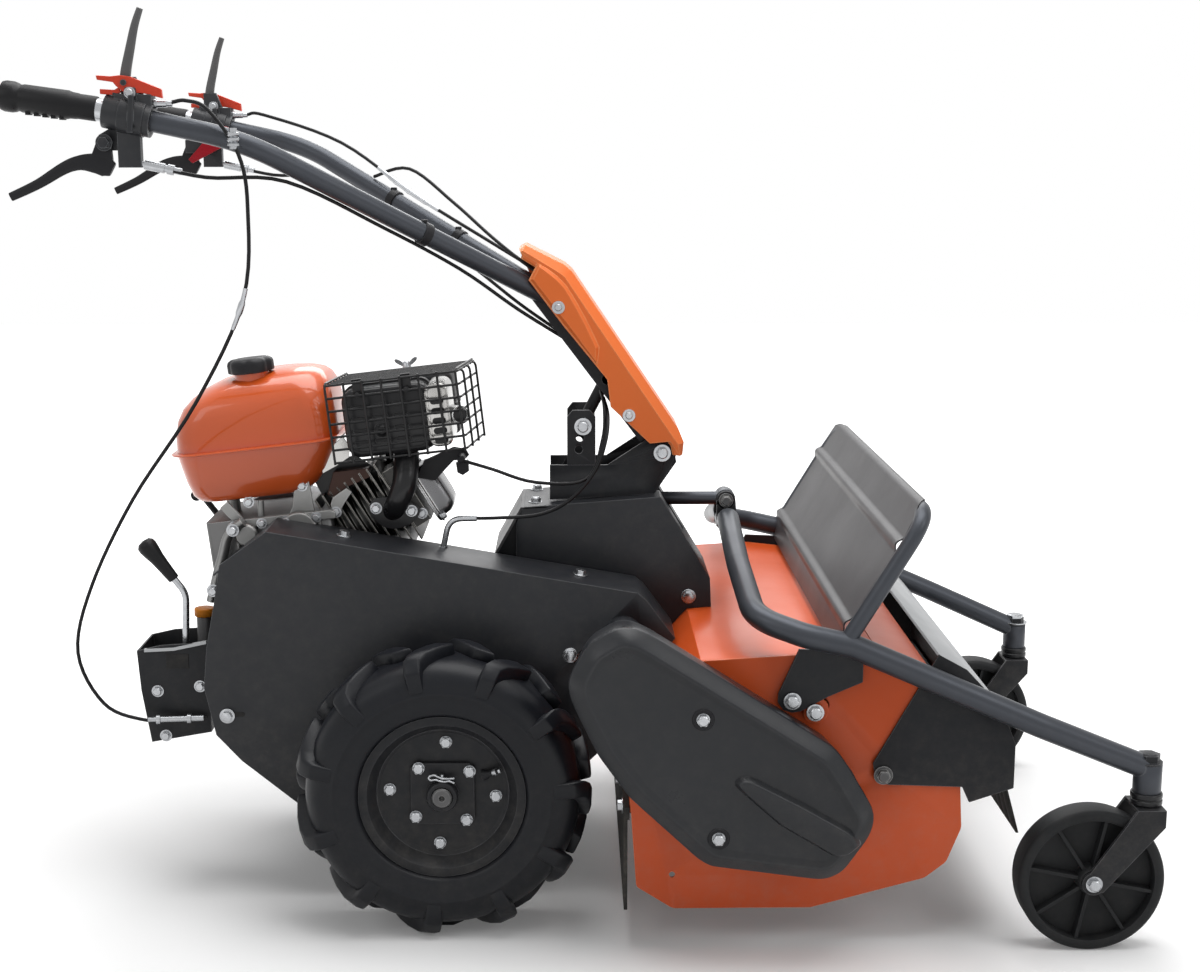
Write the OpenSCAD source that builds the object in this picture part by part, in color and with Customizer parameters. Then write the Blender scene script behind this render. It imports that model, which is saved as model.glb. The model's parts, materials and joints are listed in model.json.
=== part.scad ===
// Walk-behind flail mower: drive unit, engine, flail deck, caster frame and handlebar.
// Millimetres, +Z up. +X runs forward, +Y to the machine's left.

/* [Wheels] */
// Outer radius of the drive tyre over its lugs
wheel_r = 206; // [180:1:240]
// Width of the drive tyre
tyre_w = 106; // [85:1:130]
// Distance of each tyre's middle from the machine's centre plane
track_half = 282; // [275:1:320]
// Radius of the rim flange
rim_r = 115; // [95:1:125]
// Lugs on one side of the tyre
lug_count = 11; // [10:1:20]

/* [Chassis] */
// Outer distance of each side plate from the centre plane
chassis_half = 185; // [170:1:195]
// Thickness of the folded sheet
sheet_t = 3; // [2:0.5:5]
// Depth of the flange folded inboard from each side plate
flange_w = 104; // [60:1:108]
// Half width of the handle tower
tower_half = 74; // [66:1:82]

/* [Engine] */
// Length of the fuel tank
tank_len = 238; // [200:1:250]
// Width of the fuel tank
tank_w = 196; // [150:1:220]
// Height of the fuel tank
tank_h = 182; // [150:1:190]
// Nose-up tilt of the engine
engine_tilt = 6.5; // [0:0.5:10]
// Cooling fins on the cylinder
fin_count = 9; // [6:1:11]
// Radius of a guard wire
wire_r = 1.8; // [1.2:0.1:2.5]

/* [Deck] */
// Half width of the deck over its side plates
deck_half = 352; // [340:1:356]
// Thickness of the deck plates
deck_t = 4; // [3:0.5:6]
// Radius swept by the flail tips
flail_reach = 150; // [135:1:156]
// Flails in one row
flail_count = 11; // [6:1:13]
// Radius of the rotor tube
rotor_r = 45; // [38:1:52]
// Depth of the belt cover
cover_depth = 84; // [76:1:100]

/* [Front] */
// Distance of each caster stem from the centre plane
caster_half = 357; // [350:1:380]
// Radius of a caster wheel
caster_r = 100; // [85:1:104]
// Width of a caster wheel
caster_w = 44; // [36:1:52]
// Radius of the frame tube
frame_r = 16.5; // [14:0.5:19]
// Height of the front panel along its slope
panel_h = 206; // [160:1:240]
// Strips in the front fringe
strip_count = 19; // [10:1:24]

/* [Handlebar] */
// Distance of each grip from the centre plane
grip_half = 265; // [230:1:300]
// Radius of the handlebar tube
bar_r = 14; // [12:0.5:16]
// Height of the grip above the ground
grip_z = 1128; // [1080:1:1180]
// Length of a hand grip
grip_len = 122; // [100:1:140]
// Radius of a hand grip
grip_r = 18; // [16:0.5:20]
// Half width of the column cover
column_half = 60; // [54:1:70]

/* [Hidden] */
$fn = 48;
// overrun for cuts, and the fits
eps = 1;
run_fit = 0.05;
gap = 0.6;
lift = 0.4;
// bolts: across-corner radius and height of a head, washer, shank radius
bolt_r = 8;
bolt_h = 6;
washer_r = 11;
washer_t = 2;
shank_r = 5;
hex = 6;
// drive axle
axle_r = 14;
axle_tube_r = 24;
axle_z = wheel_r;
hub_half = 48.5;
hub_t = 6;
hub_bolt_at = 39;
rim_bolt_r = 73;
rim_disc_y = 24;
rim_half = 44;
rim_t = 3;
rim_well_r = 94;
rim_step_r = 86;
tyre_inner_r = rim_r - 9;
bead = 8;
bulge = 34;
shoulder = 10;
crown = 30;
lug_h = 16;
lug_w = 30;
lug_angle = 38;
lug_reach = tyre_w * 0.56;
carcass_r = wheel_r - lug_h;
axle_tip = 18;
// side plate profile: forward and up positions of its corners
plate_pts = [[-320, 500], [-253, 548], [272, 457], [284, 447], [326, 390], [250, 305], [248, 250], [120,
    128],
             [-200, 128], [-299, 210], [-334, 249], [-349, 320], [-343, 379], [-330, 443]];
plate_top = [[-330, 486], [-253, 548], [272, 457], [284, 447], [326, 390]];
// transaxle and engine bed
case_x = 78;
case_half = 58;
case_low = 118;
case_high = 300;
bed_x0 = -300;
bed_x1 = 240;
bed_z = 318;
bed_t = 6;
neck_x = -370;
neck_y = -62;
arm_w = 30;
neck_z = 372;
neck_r = 12;
neck_h = 22;
arm_z = 300;
arm_h = 30;
hitch_h = 40;
// tower profile and the slot for the tie rod
tower_pts = [[96, 535], [107, 560], [310, 575], [384, 451], [386, 407.4], [350, 405.2], [277.2, 324],
    [96, 324]];
tower_hollow = [[80, 520], [112, 554], [306, 568], [378, 449], [378, 380], [80, 340]];
slot_w = 36;
side_bolts = [[-317, 278], [176, 366]];
flange_bolts = [-150, 190];
tower_bolt = [352, 424];
flap_bolt_share = 0.303;
column_bolts = [[160, 853], [263, 694]];
slot_z0 = 488;
slot_z1 = 566;
// handle pivot, bracket and the hole row on an arc about the pivot
pivot_x = 313;
pivot_z = 636;
pivot_r = 8;
bracket_half = 46;
bracket_t = 5;
bracket_pts = [[146, 566], [146, 618], [232, 618], [296, 660], [330, 648], [334, 622], [300, 572]];
cheek_pts = [[172, 600], [172, 690], [180, 700], [206, 700], [214, 690], [214, 600]];
hole_row_r = 124;
hole_row_angles = [161.3, 169.5, 177.7];
hole_r = 6;
// engine
crank_x = -262;
crank_z = 452;
block_x0 = -350;
block_x1 = -165;
block_z0 = 344;
block_z1 = 548;
block_half = 78;
foot_z1 = 372;
lip_w = 16;
cyl_x = -172;
cyl_z = 496;
cyl_angle = 25;
cyl_len = 118;
cyl_r = 50;
fin_r = 66;
fin_t = 2.6;
head_t = 26;
head_h = 96;
head_w = 118;
valve_h = 84;
valve_w = 84;
valve_t = 34;
valve_r = 12;
shroud_y = block_half;
shroud_room = 27;
shroud_d = chassis_half - sheet_t - block_half - 3 * shank_r - shroud_room;
starter_share = 0.55;
shroud_r = 106;
tank_front = -141;
tank_x = tank_front - tank_len;
tank_wall = 4;
post_x0 = -322;
post_x1 = -221;
tank_z = 575;
tank_y = -92;
tank_round = 40;
tank_seam = 8;
tank_seam_t = 3;
seam_share = 0.42;
filler_x_share = 0.51;
filler_y_share = 0.30;
filler_r = 26;
filler_h = 12;
cap_r = 34;
cap_h = 22;
muffler_x0 = -124;
muffler_x1 = 2;
muffler_z0 = 630;
muffler_z1 = 724;
muffler_y0 = -104;
muffler_d = 88;
muffler_round = 14;
shield_x1 = 24;
shield_z0 = 634;
shield_z1 = 720;
outlet_r = 13;
outlet_bore = 10;
outlet_len = 30;
outlet_z = 684;
outlet_y = -62;
cage_x0 = -140;
cage_x1 = 64;
cage_z0 = 622;
cage_z1 = 734;
cage_y0 = -122;
cage_y1 = -8;
cage_rows = 6;
cage_cols = 7;
cage_deep = 6;
wire_sides = 8;
filter_x0 = -112;
filter_x1 = 34;
filter_y0 = 2;
filter_d = 96;
filter_z0 = 626;
filter_h = 108;
filter_round = 16;
intake_x = -74;
intake_floor = 580;
wing_z = 20;
wing_w = 34;
wing_t = 5;
// shift console and lever
console_x1 = -352;
console_y0 = -132;
console_d = 92;
console_foot = 88;
console_pts = [[-440, 221], [-352, 236], [-352, 372], [-420, 368], [-456, 360], [-452, 300]];
lever_x = -392;
lever_z = 300;
lever_y = -108;
lever_rod_r = 5;
lever_top_x = -386;
lever_top_z = 440;
lever_grip_x = -440;
lever_grip_z = 512;
lever_grip_r = 12;
lever_pin_r = 5;
lever_eye_r = 11;
lever_eye_w = 16;
// deck profile, clockwise from the rear top
side_pts = [[256, 215], [256, 300], [350, 405], [478, 413], [604, 399], [652, 393], [704, 235],
            [708, 168], [689, 119], [660, 96], [504, 54], [315, 54], [265, 86]];
skin_pts = [[256, 190], [256, 300], [350, 405], [478, 413], [604, 399], [640, 394]];
rotor_x = 490;
rotor_z = 220;
rotor_shaft_r = 17.5;
bearing_r = 42;
bearing_t = 17;
rotor_gap = 14;
tube_wall = 7;
tube_end = 12;
lug_t = 5;
pin_r = 6;
pin_at = rotor_r + 14;
flail_t = 8;
flail_w = 24;
flail_head_r = 13;
pulley_r = 62;
jack_x = 252;
jack_z = 396;
jack_pulley_r = 52;
jack_shaft_r = 15;
jack_tube_r = 27;
belt_w = 34;
belt_t = 11;
belt_y = deck_half + 40;
pulley_w = 40;
cover_pts = [[171, 405], [176, 380], [211, 306], [253, 247], [344, 161], [360, 151], [512, 130], [536, 141],
             [571, 192], [577, 214], [575, 229], [539, 290], [522, 314], [267, 476], [240, 480], [196,
                 454]];
cover_bevel = 16;
cover_t = 4;
wedge_pts = [[392, 262], [410, 272], [545, 196], [556, 178], [540, 164], [524, 162]];
wedge_t = 7;
cover_bolts = [[348, 351], [370, 189]];
mount_hole_x = 314;
mount_hole_z = 103;
mount_hole_r = 4.25;
flap_z = 200;
flap_h = 148;
flap_t = 5;
flap_gap = 3;
// front guard
guard_x = 598;
guard_z = 246;
guard_pin_r = 8;
guard_half = deck_half + 4.5;
guard_t = 3;
guard_pts = [[668, 414], [584, 262], [588, 240], [604, 232], [706, 228], [716, 206], [776, 226], [776, 288],
             [756, 340], [706, 393]];
guard_sheet = [[668, 414], [706, 393], [756, 340], [776, 288], [776, 226]];
strip_half = 322;
strip_gap = 4;
strip_t = 4;
strip_drop = 78;
strip_lean = 22;
clamp_h = 18;
// front frame: hinge at the gusset bolts, route of one leg
frame_hinge_x = 484;
frame_hinge_z = 358;
frame_pin_r = 8;
frame_half = deck_half + 24;
gusset_y = deck_half + 6;
lock_x = 512;
lock_z = 344;
lock_r = 4;
lock_hole_r = 9;
gusset_t = 5;
gusset_pts = [[446, 436], [452, 378], [474, 350], [498, 338], [520, 330], [566, 366], [566, 420]];
leg_pts = [[952, 256], [805, 320], [548, 432], [486, 446], [422, 463], [414, 500], [413, 534]];
leg_y = [caster_half, frame_half, frame_half, frame_half, frame_half * 0.92, frame_half * 0.5,
    frame_half * 0.09];
clevis_x = 411;
clevis_z = 559;
clevis_r = 14;
clevis_gap = 15;
clevis_t = 6;
clevis_pin_r = 6;
rod_r = 10;
rod_len = 112;
rod_eye_r = 15;
rod_eye_w = 26;
stem_x = 957;
stem_z0 = 216;
stem_z1 = 262;
sleeve_r = 19;
stem_r = 11;
collar_r = 19;
collar_h = 12;
nut_h = 14;
fork_t = 5;
fork_gap = 3;
fork_h = 24;
fork_trail = 74;
fork_plate_w = 38;
caster_axle_r = 6;
caster_hub_r = 18;
spoke_count = 8;
spoke_t = 6;
web_t = 8;
tread_t = 14;
panel_x = 542;
panel_z = 440;
panel_angle = 59;
panel_t = 3;
panel_bar_r = 11;
// handlebar column and its cover, at the working height
arm_half = 36;
column_low = [313, 636];
column_high = [120, 892];
column_d = 34;
column_t = 5;
cover_side = [[103, 937], [112, 942], [168, 914], [180, 904], [336, 673], [345, 652], [343, 633], [324,
    655],
              [294, 652], [236, 707], [231, 747], [166, 827], [117, 892], [130, 917]];
cover_top = [[103, 937], [112, 942], [168, 914], [180, 904], [336, 673], [345, 652], [343, 633]];
strut_r = 9;
strut_top = [232, 745];
saddle_r = 12;
bar_root = [118, 36, 893];
bar_bend_x = -250;
bar_bend_drop = 41;
bar_end_x = -440;
bar_slope = 0.142;
// controls on each grip
mount_x = -396;
mount_len = 62;
mount_r = 22;
leg_drop = 66;
leg_w = 30;
leg_t = 12;
hand_x = -428;
hand_drop = 34;
hand_pin_r = 5;
hand_tip = [-128, -70];
hand_w = 22;
hand_t = 6;
blade_x = -398;
blade_rise = 42;
blade_pin_r = 4;
blade_h = 94;
blade_w = 17;
blade_tip_w = 7;
blade_t = 4;
latch_pts = [[-56, 14], [-22, 12], [-8, 14], [38, -2], [42, -14], [30, -12], [0, -6], [-14, -10], [-24, 4],
             [-56, 6]];
latch_t = 22;
latch_pin_r = 4;
post_t = 5;
safety_x = -372;
safety_drop = 14;
safety_pts = [[-8, 10], [12, 8], [20, -6], [-6, -22], [-52, -46], [-58, -40], [-34, -14]];
safety_t = 6;
safety_pin_r = 4;
// control cables: radius and round route points
cable_r = 2.6;
cable_step = 6;
cable_sides = 8;
cable_a = [[-360, -265, 1134], [-340, -265, 1136], [-320, -270, 1138], [-290, -280, 1126], [-252, -286,
    1070], [-242, -288, 1000], [-256, -270, 880],
           [-330, -240, 740], [-430, -210, 600], [-500, -190, 470], [-528, -176, 370], [-500, -160, 290],
           [-450, -150, 262], [-400, -142, 258], [-356, -140, 262]];
cable_b = [[-360, 265, 1134], [-340, 264, 1135], [-310, 256, 1134], [-180, 190, 1090], [-60, 120, 1010],
    [60, 60, 940],
           [108, 40, 912]];
cable_c = [[-372, -265, 1056], [-300, -262, 1040], [-200, -230, 1034], [-80, -150, 970], [20, -90, 910],
           [100, -50, 850], [166, -26, 806]];
cable_d = [[-372, 265, 1056], [-300, 262, 1040], [-200, 230, 1034], [-80, 150, 970], [20, 80, 910],
           [100, 48, 850], [166, 26, 806]];
cable_e = [[-130, 190, 1038], [-70, 140, 1050], [0, 90, 1000], [60, 40, 950], [110, 12, 912]];
cable_f = [[222, -20, 726], [227, -54, 704], [224, -72, 660], [200, -96, 606], [120, -112, 596],
           [50, -108, 614], [12, -80, 622]];
cable_g = [[226, -24, 716], [232, -62, 694], [228, -90, 660], [212, -100, 618], [176, -106, 577],
           [132, -108, 556], [74, -107, 551], [32, -105, 550], [4, -103, 544], [-8, -101, 524], [-10,
               -100, 507]];
fitting_r = 6;
fitting_len = 48;
starter_z = 548;
starter_x = -356;
starter_y = shroud_y + starter_share * shroud_d;
starter_r = 9;
starter_w = 52;
starter_lean = 30;
switch_x = -352;
switch_z = 516;
switch_w = 20;
switch_t = 10;
switch_room = 6;
switch_lean = 12;
switch_pin_r = 3;
switch_box = 34;
// origin of the shared frame: middle of the ground rectangle under the machine
x_front = stem_x - fork_trail + caster_r;
x_rear = bar_end_x - grip_len - grip_r * sin(atan(bar_slope));
y_right = -(deck_half + cover_depth + washer_t + bolt_h);
y_left = caster_half + caster_w / 2 + fork_gap + fork_t + bolt_h;
shift = [-(x_front + x_rear) / 2, -(y_right + y_left) / 2, 0];

// helpers
function seg_n(a, b) = let (d = b - a, l = norm(d)) [-d[1] / l, d[0] / l];
function mitre(p, i, t) =
    let (n = len(p) - 1,
         n0 = i > 0 ? seg_n(p[i - 1], p[i]) : seg_n(p[0], p[1]),
         n1 = i < n ? seg_n(p[i], p[i + 1]) : seg_n(p[n - 1], p[n]),
         s = n0 + n1)
    p[i] + s * (2 * t / (s * s));
function thick(p, t) = concat(p, [for (i = [len(p) - 1:-1:0]) mitre(p, i, t)]);
function bar_z(x) = grip_z - bar_bend_drop * (x - bar_end_x) / (bar_bend_x - bar_end_x);
function spline(a, b, c, d, t) =
    (2 * b + (c - a) * t + (2 * a - 5 * b + 4 * c - d) * t * t + (3 * b - a - 3 * c + d) * t * t * t) / 2;
function route(p, n) =
    concat([for (i = [0:len(p) - 2], k = [0:n - 1])
            spline(p[max(i - 1, 0)], p[i], p[i + 1], p[min(i + 2, len(p) - 1)], k / n)], [p[len(p) - 1]]);
function unit(v) = v / norm(v);

// plate in the XZ plane from y to y + t
module wall(p, y, t) {
    translate([0, y + t, 0]) rotate([90, 0, 0]) linear_extrude(height = t) polygon(p);
}
// cylinder along Y from y to y + l
module rod_y(x, y, z, r, l) {
    translate([x, y, z]) rotate([-90, 0, 0]) cylinder(r = r, h = l);
}
// cylinder between two points
module link(a, b, r) {
    d = b - a;
    translate(a) rotate([0, acos(d[2] / norm(d)), atan2(d[1], d[0])]) cylinder(r = r, h = norm(d));
}
// bent tube: straight links with a slightly larger ball in each bend
module tube_run(p, r) {
    for (i = [0:len(p) - 2]) link(p[i], p[i + 1], r);
    for (i = [1:len(p) - 2]) translate(p[i]) sphere(r = r + lift);
}
// hexagon head with a washer; s is -1 on the right side, 1 on the left
module bolt_head(x, y, z, s) {
    translate([x, y, z]) rotate([-90 * s, 0, 0]) {
        cylinder(r = washer_r, h = washer_t);
        translate([0, 0, washer_t]) cylinder(r = bolt_r, h = bolt_h, $fn = hex);
    }
}
// head standing on a level face
module bolt_up(x, y, z) {
    translate([x, y, z]) {
        cylinder(r = washer_r, h = washer_t);
        translate([0, 0, washer_t]) cylinder(r = bolt_r, h = bolt_h, $fn = hex);
    }
}
// smooth cord along round route points
module cord(p, r) {
    q = route(p, cable_step);
    n = len(q);
    ring = [for (i = [0:n - 1])
        let (t = unit(q[min(i + 1, n - 1)] - q[max(i - 1, 0)]), u = unit(cross(t, [0.31, 1, 0.23])), v =
            cross(t, u))
        for (k = [0:cable_sides - 1]) q[i] + r * (u * cos(360 * k / cable_sides) + v * sin(360 * k /
            cable_sides))];
    side = [for (i = [0:n - 2], k = [0:cable_sides - 1])
        let (a = i * cable_sides + k, b = i * cable_sides + (k + 1) % cable_sides)
        [a, a + cable_sides, b + cable_sides, b]];
    first = [[for (k = [0:cable_sides - 1]) k]];
    last = [[for (k = [cable_sides - 1:-1:0]) (n - 1) * cable_sides + k]];
    polyhedron(points = ring, faces = concat(side, first, last), convexity = 10);
}
// block with rounded upright corners
module round_block(x0, y0, z0, lx, ly, lz, r) {
    translate([x0 + r, y0 + r, z0]) linear_extrude(height = lz) offset(r = r) square([lx - 2 * r, ly -
        2 * r]);
}
module tilted() {
    translate([crank_x, 0, crank_z]) rotate([0, -engine_tilt, 0]) translate([-crank_x, 0, -crank_z])
        children();
}

module side_sheet(holes, lip) {
    difference() {
        union() {
            wall(plate_pts, -chassis_half, sheet_t);
            wall(thick(plate_top, -sheet_t), -chassis_half, lip);
        }
        rod_y(0, -chassis_half - eps, axle_z, axle_tube_r, sheet_t + 2 * eps);
        if (holes) rod_y(jack_x, -chassis_half - eps, jack_z, jack_tube_r, sheet_t + 2 * eps);
    }
}
module side_plate_right() {
    color("#3d4145") side_sheet(true, flange_w);
}
module side_plate_left() {
    color("#3d4145") mirror([0, 1, 0]) side_sheet(false, lip_w);
}
module chassis_bed() {
    half = chassis_half - sheet_t;
    color("#2f3235") {
        translate([bed_x0, -half, bed_z]) cube([bed_x1 - bed_x0, 2 * half, bed_t]);
        translate([case_x, -half, case_high]) cube([bed_t, 2 * half, bed_z - case_high]);
        translate([bed_x1 - bed_t, -tower_half, case_high - hitch_h])
            cube([bed_t, 2 * tower_half, bed_z - case_high + hitch_h]);
        translate([bed_x1, -tower_half, case_high - hitch_h]) cube([side_pts[0][0] - bed_x1, 2 *
            tower_half, hitch_h]);
        translate([bed_x0, -half, case_high]) cube([bed_t, 2 * half, bed_z - case_high]);
    }
}
module transaxle() {
    reach = track_half - rim_disc_y - hub_t - gap;
    color("#55585b") {
        difference() {
            union() {
                translate([-case_x, -case_half, case_low]) cube([2 * case_x, 2 * case_half, bed_z -
                    case_low]);
                rod_y(0, -reach, axle_z, axle_tube_r, 2 * reach);
                translate([neck_x - arm_w / 2, neck_y - arm_w / 2, arm_z - arm_h])
                    cube([-neck_x + arm_w / 2, arm_w, arm_h]);
                translate([neck_x, neck_y, arm_z]) cylinder(r = neck_r, h = neck_z - arm_z + neck_h);
            }
            rod_y(0, -reach - eps, axle_z, axle_r + run_fit, 2 * reach + 2 * eps);
            translate([neck_x, neck_y, neck_z]) cylinder(r = neck_r - sheet_t, h = neck_h + eps);
        }
    }
}
module handle_tower() {
    color("#3a3d40") difference() {
        wall(tower_pts, -tower_half, 2 * tower_half);
        wall(tower_hollow, -tower_half + sheet_t, 2 * tower_half - 2 * sheet_t);
        translate([pivot_x - slot_w, -slot_w / 2, slot_z0]) cube([2 * slot_w, slot_w, slot_z1 - slot_z0 +
            slot_w]);
    }
}
module handle_bracket() {
    stop = [pivot_x + hole_row_r * cos(hole_row_angles[0]), pivot_z + hole_row_r * sin(hole_row_angles[0])];
    color("#1c1d1f") {
        difference() {
            for (s = [-1, 1]) translate([0, s * (bracket_half - bracket_t / 2) - bracket_t / 2, 0]) {
                wall(bracket_pts, 0, bracket_t);
                wall(cheek_pts, 0, bracket_t);
                rod_y(pivot_x, 0, pivot_z, 2.6 * pivot_r, bracket_t);
            }
            for (a = hole_row_angles)
                rod_y(pivot_x + hole_row_r * cos(a), -bracket_half - eps, pivot_z + hole_row_r * sin(a),
                    hole_r,
                      2 * bracket_half + 2 * eps);
            wall(tower_pts, -bracket_half - eps, 2 * bracket_half + 2 * eps);
        }
        rod_y(pivot_x, -bracket_half - washer_t, pivot_z, pivot_r, 2 * bracket_half + 2 * washer_t);
        rod_y(stop[0], -bracket_half - washer_t, stop[1], hole_r, 2 * bracket_half + 2 * washer_t);
        for (s = [-1, 1]) bolt_head(stop[0], s * bracket_half, stop[1], s);
        for (s = [-1, 1]) bolt_head(pivot_x, s * bracket_half, pivot_z, s);
    }
}
module crankcase() {
    color("#8d9093") difference() {
        union() {
            translate([block_x0, -block_half, bed_z + bed_t]) cube([block_x1 - block_x0, 2 * block_half,
                foot_z1 - bed_z - bed_t]);
            tilted() round_block(block_x0, -block_half, block_z0, block_x1 - block_x0, 2 * block_half,
                                 block_z1 - block_z0, tank_seam);
            tilted() rod_y(crank_x, -block_half - 2 * washer_t, crank_z, 2 * axle_tube_r, 2 * washer_t +
                eps);
        }
        translate([block_x0 - block_half, -block_half - eps, 0]) cube([block_x1 - block_x0 + 2 *
            block_half, 2 * block_half + 2 * eps, bed_z + bed_t]);
    }
}
module cylinder_part() {
    pitch = (cyl_len - fin_t) / fin_count;
    color("#7b7e80") tilted() difference() {
        translate([cyl_x, 0, cyl_z]) rotate([0, 90 - cyl_angle, 0]) {
            cylinder(r = cyl_r, h = cyl_len);
            for (i = [1:fin_count])
                translate([-fin_r, -fin_r, i * pitch]) cube([2 * fin_r, 2 * fin_r, fin_t]);
            translate([-head_h / 2, -head_w / 2, cyl_len]) cube([head_h, head_w, head_t]);
        }
        translate([block_x0, -block_half, block_z0]) cube([block_x1 - block_x0, 2 * block_half,
            block_z1 - block_z0]);
    }
}
module head_space() {
    translate([cyl_x, 0, cyl_z]) rotate([0, 90 - cyl_angle, 0]) {
        translate([-head_h / 2, -head_w / 2, cyl_len]) cube([head_h, head_w, head_t]);
        translate([-fin_r, -fin_r, 0]) cube([2 * fin_r, 2 * fin_r, cyl_len]);
    }
}
module valve_cover() {
    color("#a9abad") tilted() translate([cyl_x, 0, cyl_z]) rotate([0, 90 - cyl_angle, 0])
        translate([0, 0, cyl_len + head_t]) {
            round_block(-valve_h / 2, -valve_w / 2, 0, valve_h, valve_w, valve_t, valve_r);
            for (s = [-1, 1], u = [-1, 1])
                translate([s * (valve_h / 2 - valve_r), u * (valve_w / 2 - valve_r), valve_t])
                    cylinder(r = shank_r, h = bolt_h, $fn = hex);
        }
}
module fan_shroud() {
    color("#7f858a") tilted() difference() {
        union() {
            rod_y(crank_x, shroud_y, crank_z, shroud_r, shroud_d);
            rod_y(crank_x, shroud_y + shroud_d, crank_z, shroud_r / 2, 3 * shank_r);
            translate([switch_x - switch_box / 2, shroud_y, switch_z - switch_box / 2])
                cube([switch_box, switch_box, switch_box]);
        }
        translate([switch_x - switch_box, shroud_y + switch_box / 2 - switch_w / 2, switch_z -
            switch_box / 2 + sheet_t])
            cube([switch_box / 2 + switch_t + switch_room, switch_w, switch_box - 2 * sheet_t]);
        translate([starter_x, starter_y, starter_z - starter_w]) rotate([0, -starter_lean, 0])
            cylinder(r = shank_r, h = starter_w);
    }
    color("#7f858a") tilted() rod_y(switch_x - switch_box / 2 + switch_t / 2, shroud_y + switch_box / 2 -
        switch_w / 2 - eps,
                                    switch_z, switch_pin_r - run_fit, switch_w + 2 * eps);
}
module fuel_tank() {
    color("#e8702a") tilted() {
        difference() {
            hull() for (x = [tank_round, tank_len - tank_round], y = [tank_round, tank_w - tank_round],
                        z = [tank_round, tank_h - tank_round])
                translate([tank_x + x, tank_y + y, tank_z + z]) sphere(r = tank_round, $fn = 36);
            round_block(tank_x + 2 * tank_wall, tank_y + 2 * tank_wall, tank_z + tank_round / 2,
                        tank_len - 4 * tank_wall, tank_w - 4 * tank_wall, tank_h - tank_round, tank_round);
        }
        round_block(tank_x - tank_seam, tank_y - tank_seam, tank_z + seam_share * tank_h, tank_len + 2 *
            tank_seam,
                    tank_w + 2 * tank_seam, tank_seam_t, tank_round);
        translate([tank_x + filler_x_share * tank_len, tank_y + filler_y_share * tank_w, tank_z +
            tank_h - tank_seam])
            cylinder(r = filler_r, h = filler_h + tank_seam);
        for (x = [post_x0, post_x1]) translate([x, tank_y + tank_w / 2, block_z1])
            cylinder(r = 2 * shank_r, h = tank_z - block_z1 + eps);
    }
}
module fuel_cap() {
    color("#1b1b1c") tilted()
        translate([tank_x + filler_x_share * tank_len, tank_y + filler_y_share * tank_w, tank_z +
            tank_h + lift])
            difference() {
                cylinder(r = cap_r, h = cap_h);
                translate([0, 0, -eps]) cylinder(r = filler_r + run_fit, h = filler_h + eps);
            }
}
module muffler() {
    color("#2a2a2b") tilted() difference() {
        union() {
            translate([0, muffler_y0, 0]) round_block(muffler_x0, 0, muffler_z0, muffler_x1 - muffler_x0,
                muffler_d,
                                                       muffler_z1 - muffler_z0, muffler_round);
            translate([muffler_x1, muffler_y0 + sheet_t, shield_z0])
                cube([shield_x1 - muffler_x1, muffler_d - 2 * sheet_t, shield_z1 - shield_z0]);
            translate([shield_x1, outlet_y, outlet_z]) rotate([0, 90, 0]) cylinder(r = outlet_r, h =
                outlet_len);
            link([cyl_x + cyl_len * 0.98, outlet_y, cyl_z + cyl_len * 0.55],
                 [cyl_x + cyl_len * 0.98, outlet_y, muffler_z0 + eps], outlet_r + sheet_t);
        }
        translate([muffler_x1 + sheet_t, outlet_y, outlet_z]) rotate([0, 90, 0])
            cylinder(r = outlet_bore, h = outlet_len + shield_x1);
        head_space();
        translate([muffler_x0 + 2 * sheet_t, muffler_y0 + 2 * sheet_t, muffler_z0 + 2 * sheet_t])
            cube([muffler_x1 - muffler_x0 - 4 * sheet_t, muffler_d - 4 * sheet_t, muffler_z1 -
                muffler_z0 - 4 * sheet_t]);
    }
}
module muffler_guard() {
    dx = (cage_x1 - cage_x0) / cage_cols;
    dz = (cage_z1 - cage_z0) / cage_rows;
    dy = (cage_y1 - cage_y0) / cage_deep;
    off = 1.4 * wire_r;
    $fn = wire_sides;
    color("#161616") tilted() {
        for (i = [0:cage_rows]) {
            link([cage_x0, cage_y0, cage_z0 + i * dz], [cage_x1 + off, cage_y0, cage_z0 + i * dz], wire_r);
            link([cage_x1 + off, cage_y0 - wire_r, cage_z0 + i * dz], [cage_x1 + off, cage_y1, cage_z0 +
                i * dz], wire_r);
        }
        for (i = [0:cage_cols]) {
            link([cage_x0 + i * dx, cage_y0 - off, cage_z0 - wire_r], [cage_x0 + i * dx, cage_y0 - off,
                cage_z1 + off], wire_r);
            link([cage_x0 + i * dx, cage_y0 - off - wire_r, cage_z1 + off], [cage_x0 + i * dx, cage_y1,
                cage_z1 + off], wire_r);
        }
        for (i = [1:cage_deep])
            link([cage_x0, cage_y0 + i * dy, cage_z1], [cage_x1 + 2 * off, cage_y0 + i * dy, cage_z1],
                wire_r);
        for (i = [1:cage_deep])
            link([cage_x1 + 2 * off, cage_y0 + i * dy, cage_z0 - wire_r], [cage_x1 + 2 * off, cage_y0 +
                i * dy, cage_z1 + wire_r], wire_r);
        for (x = [muffler_x0 + 2 * muffler_round, muffler_x1 - 2 * muffler_round])
            link([x, cage_y0 - off, muffler_z1 - muffler_round], [x, muffler_y0, muffler_z1 -
                muffler_round], shank_r);
    }
}
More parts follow.
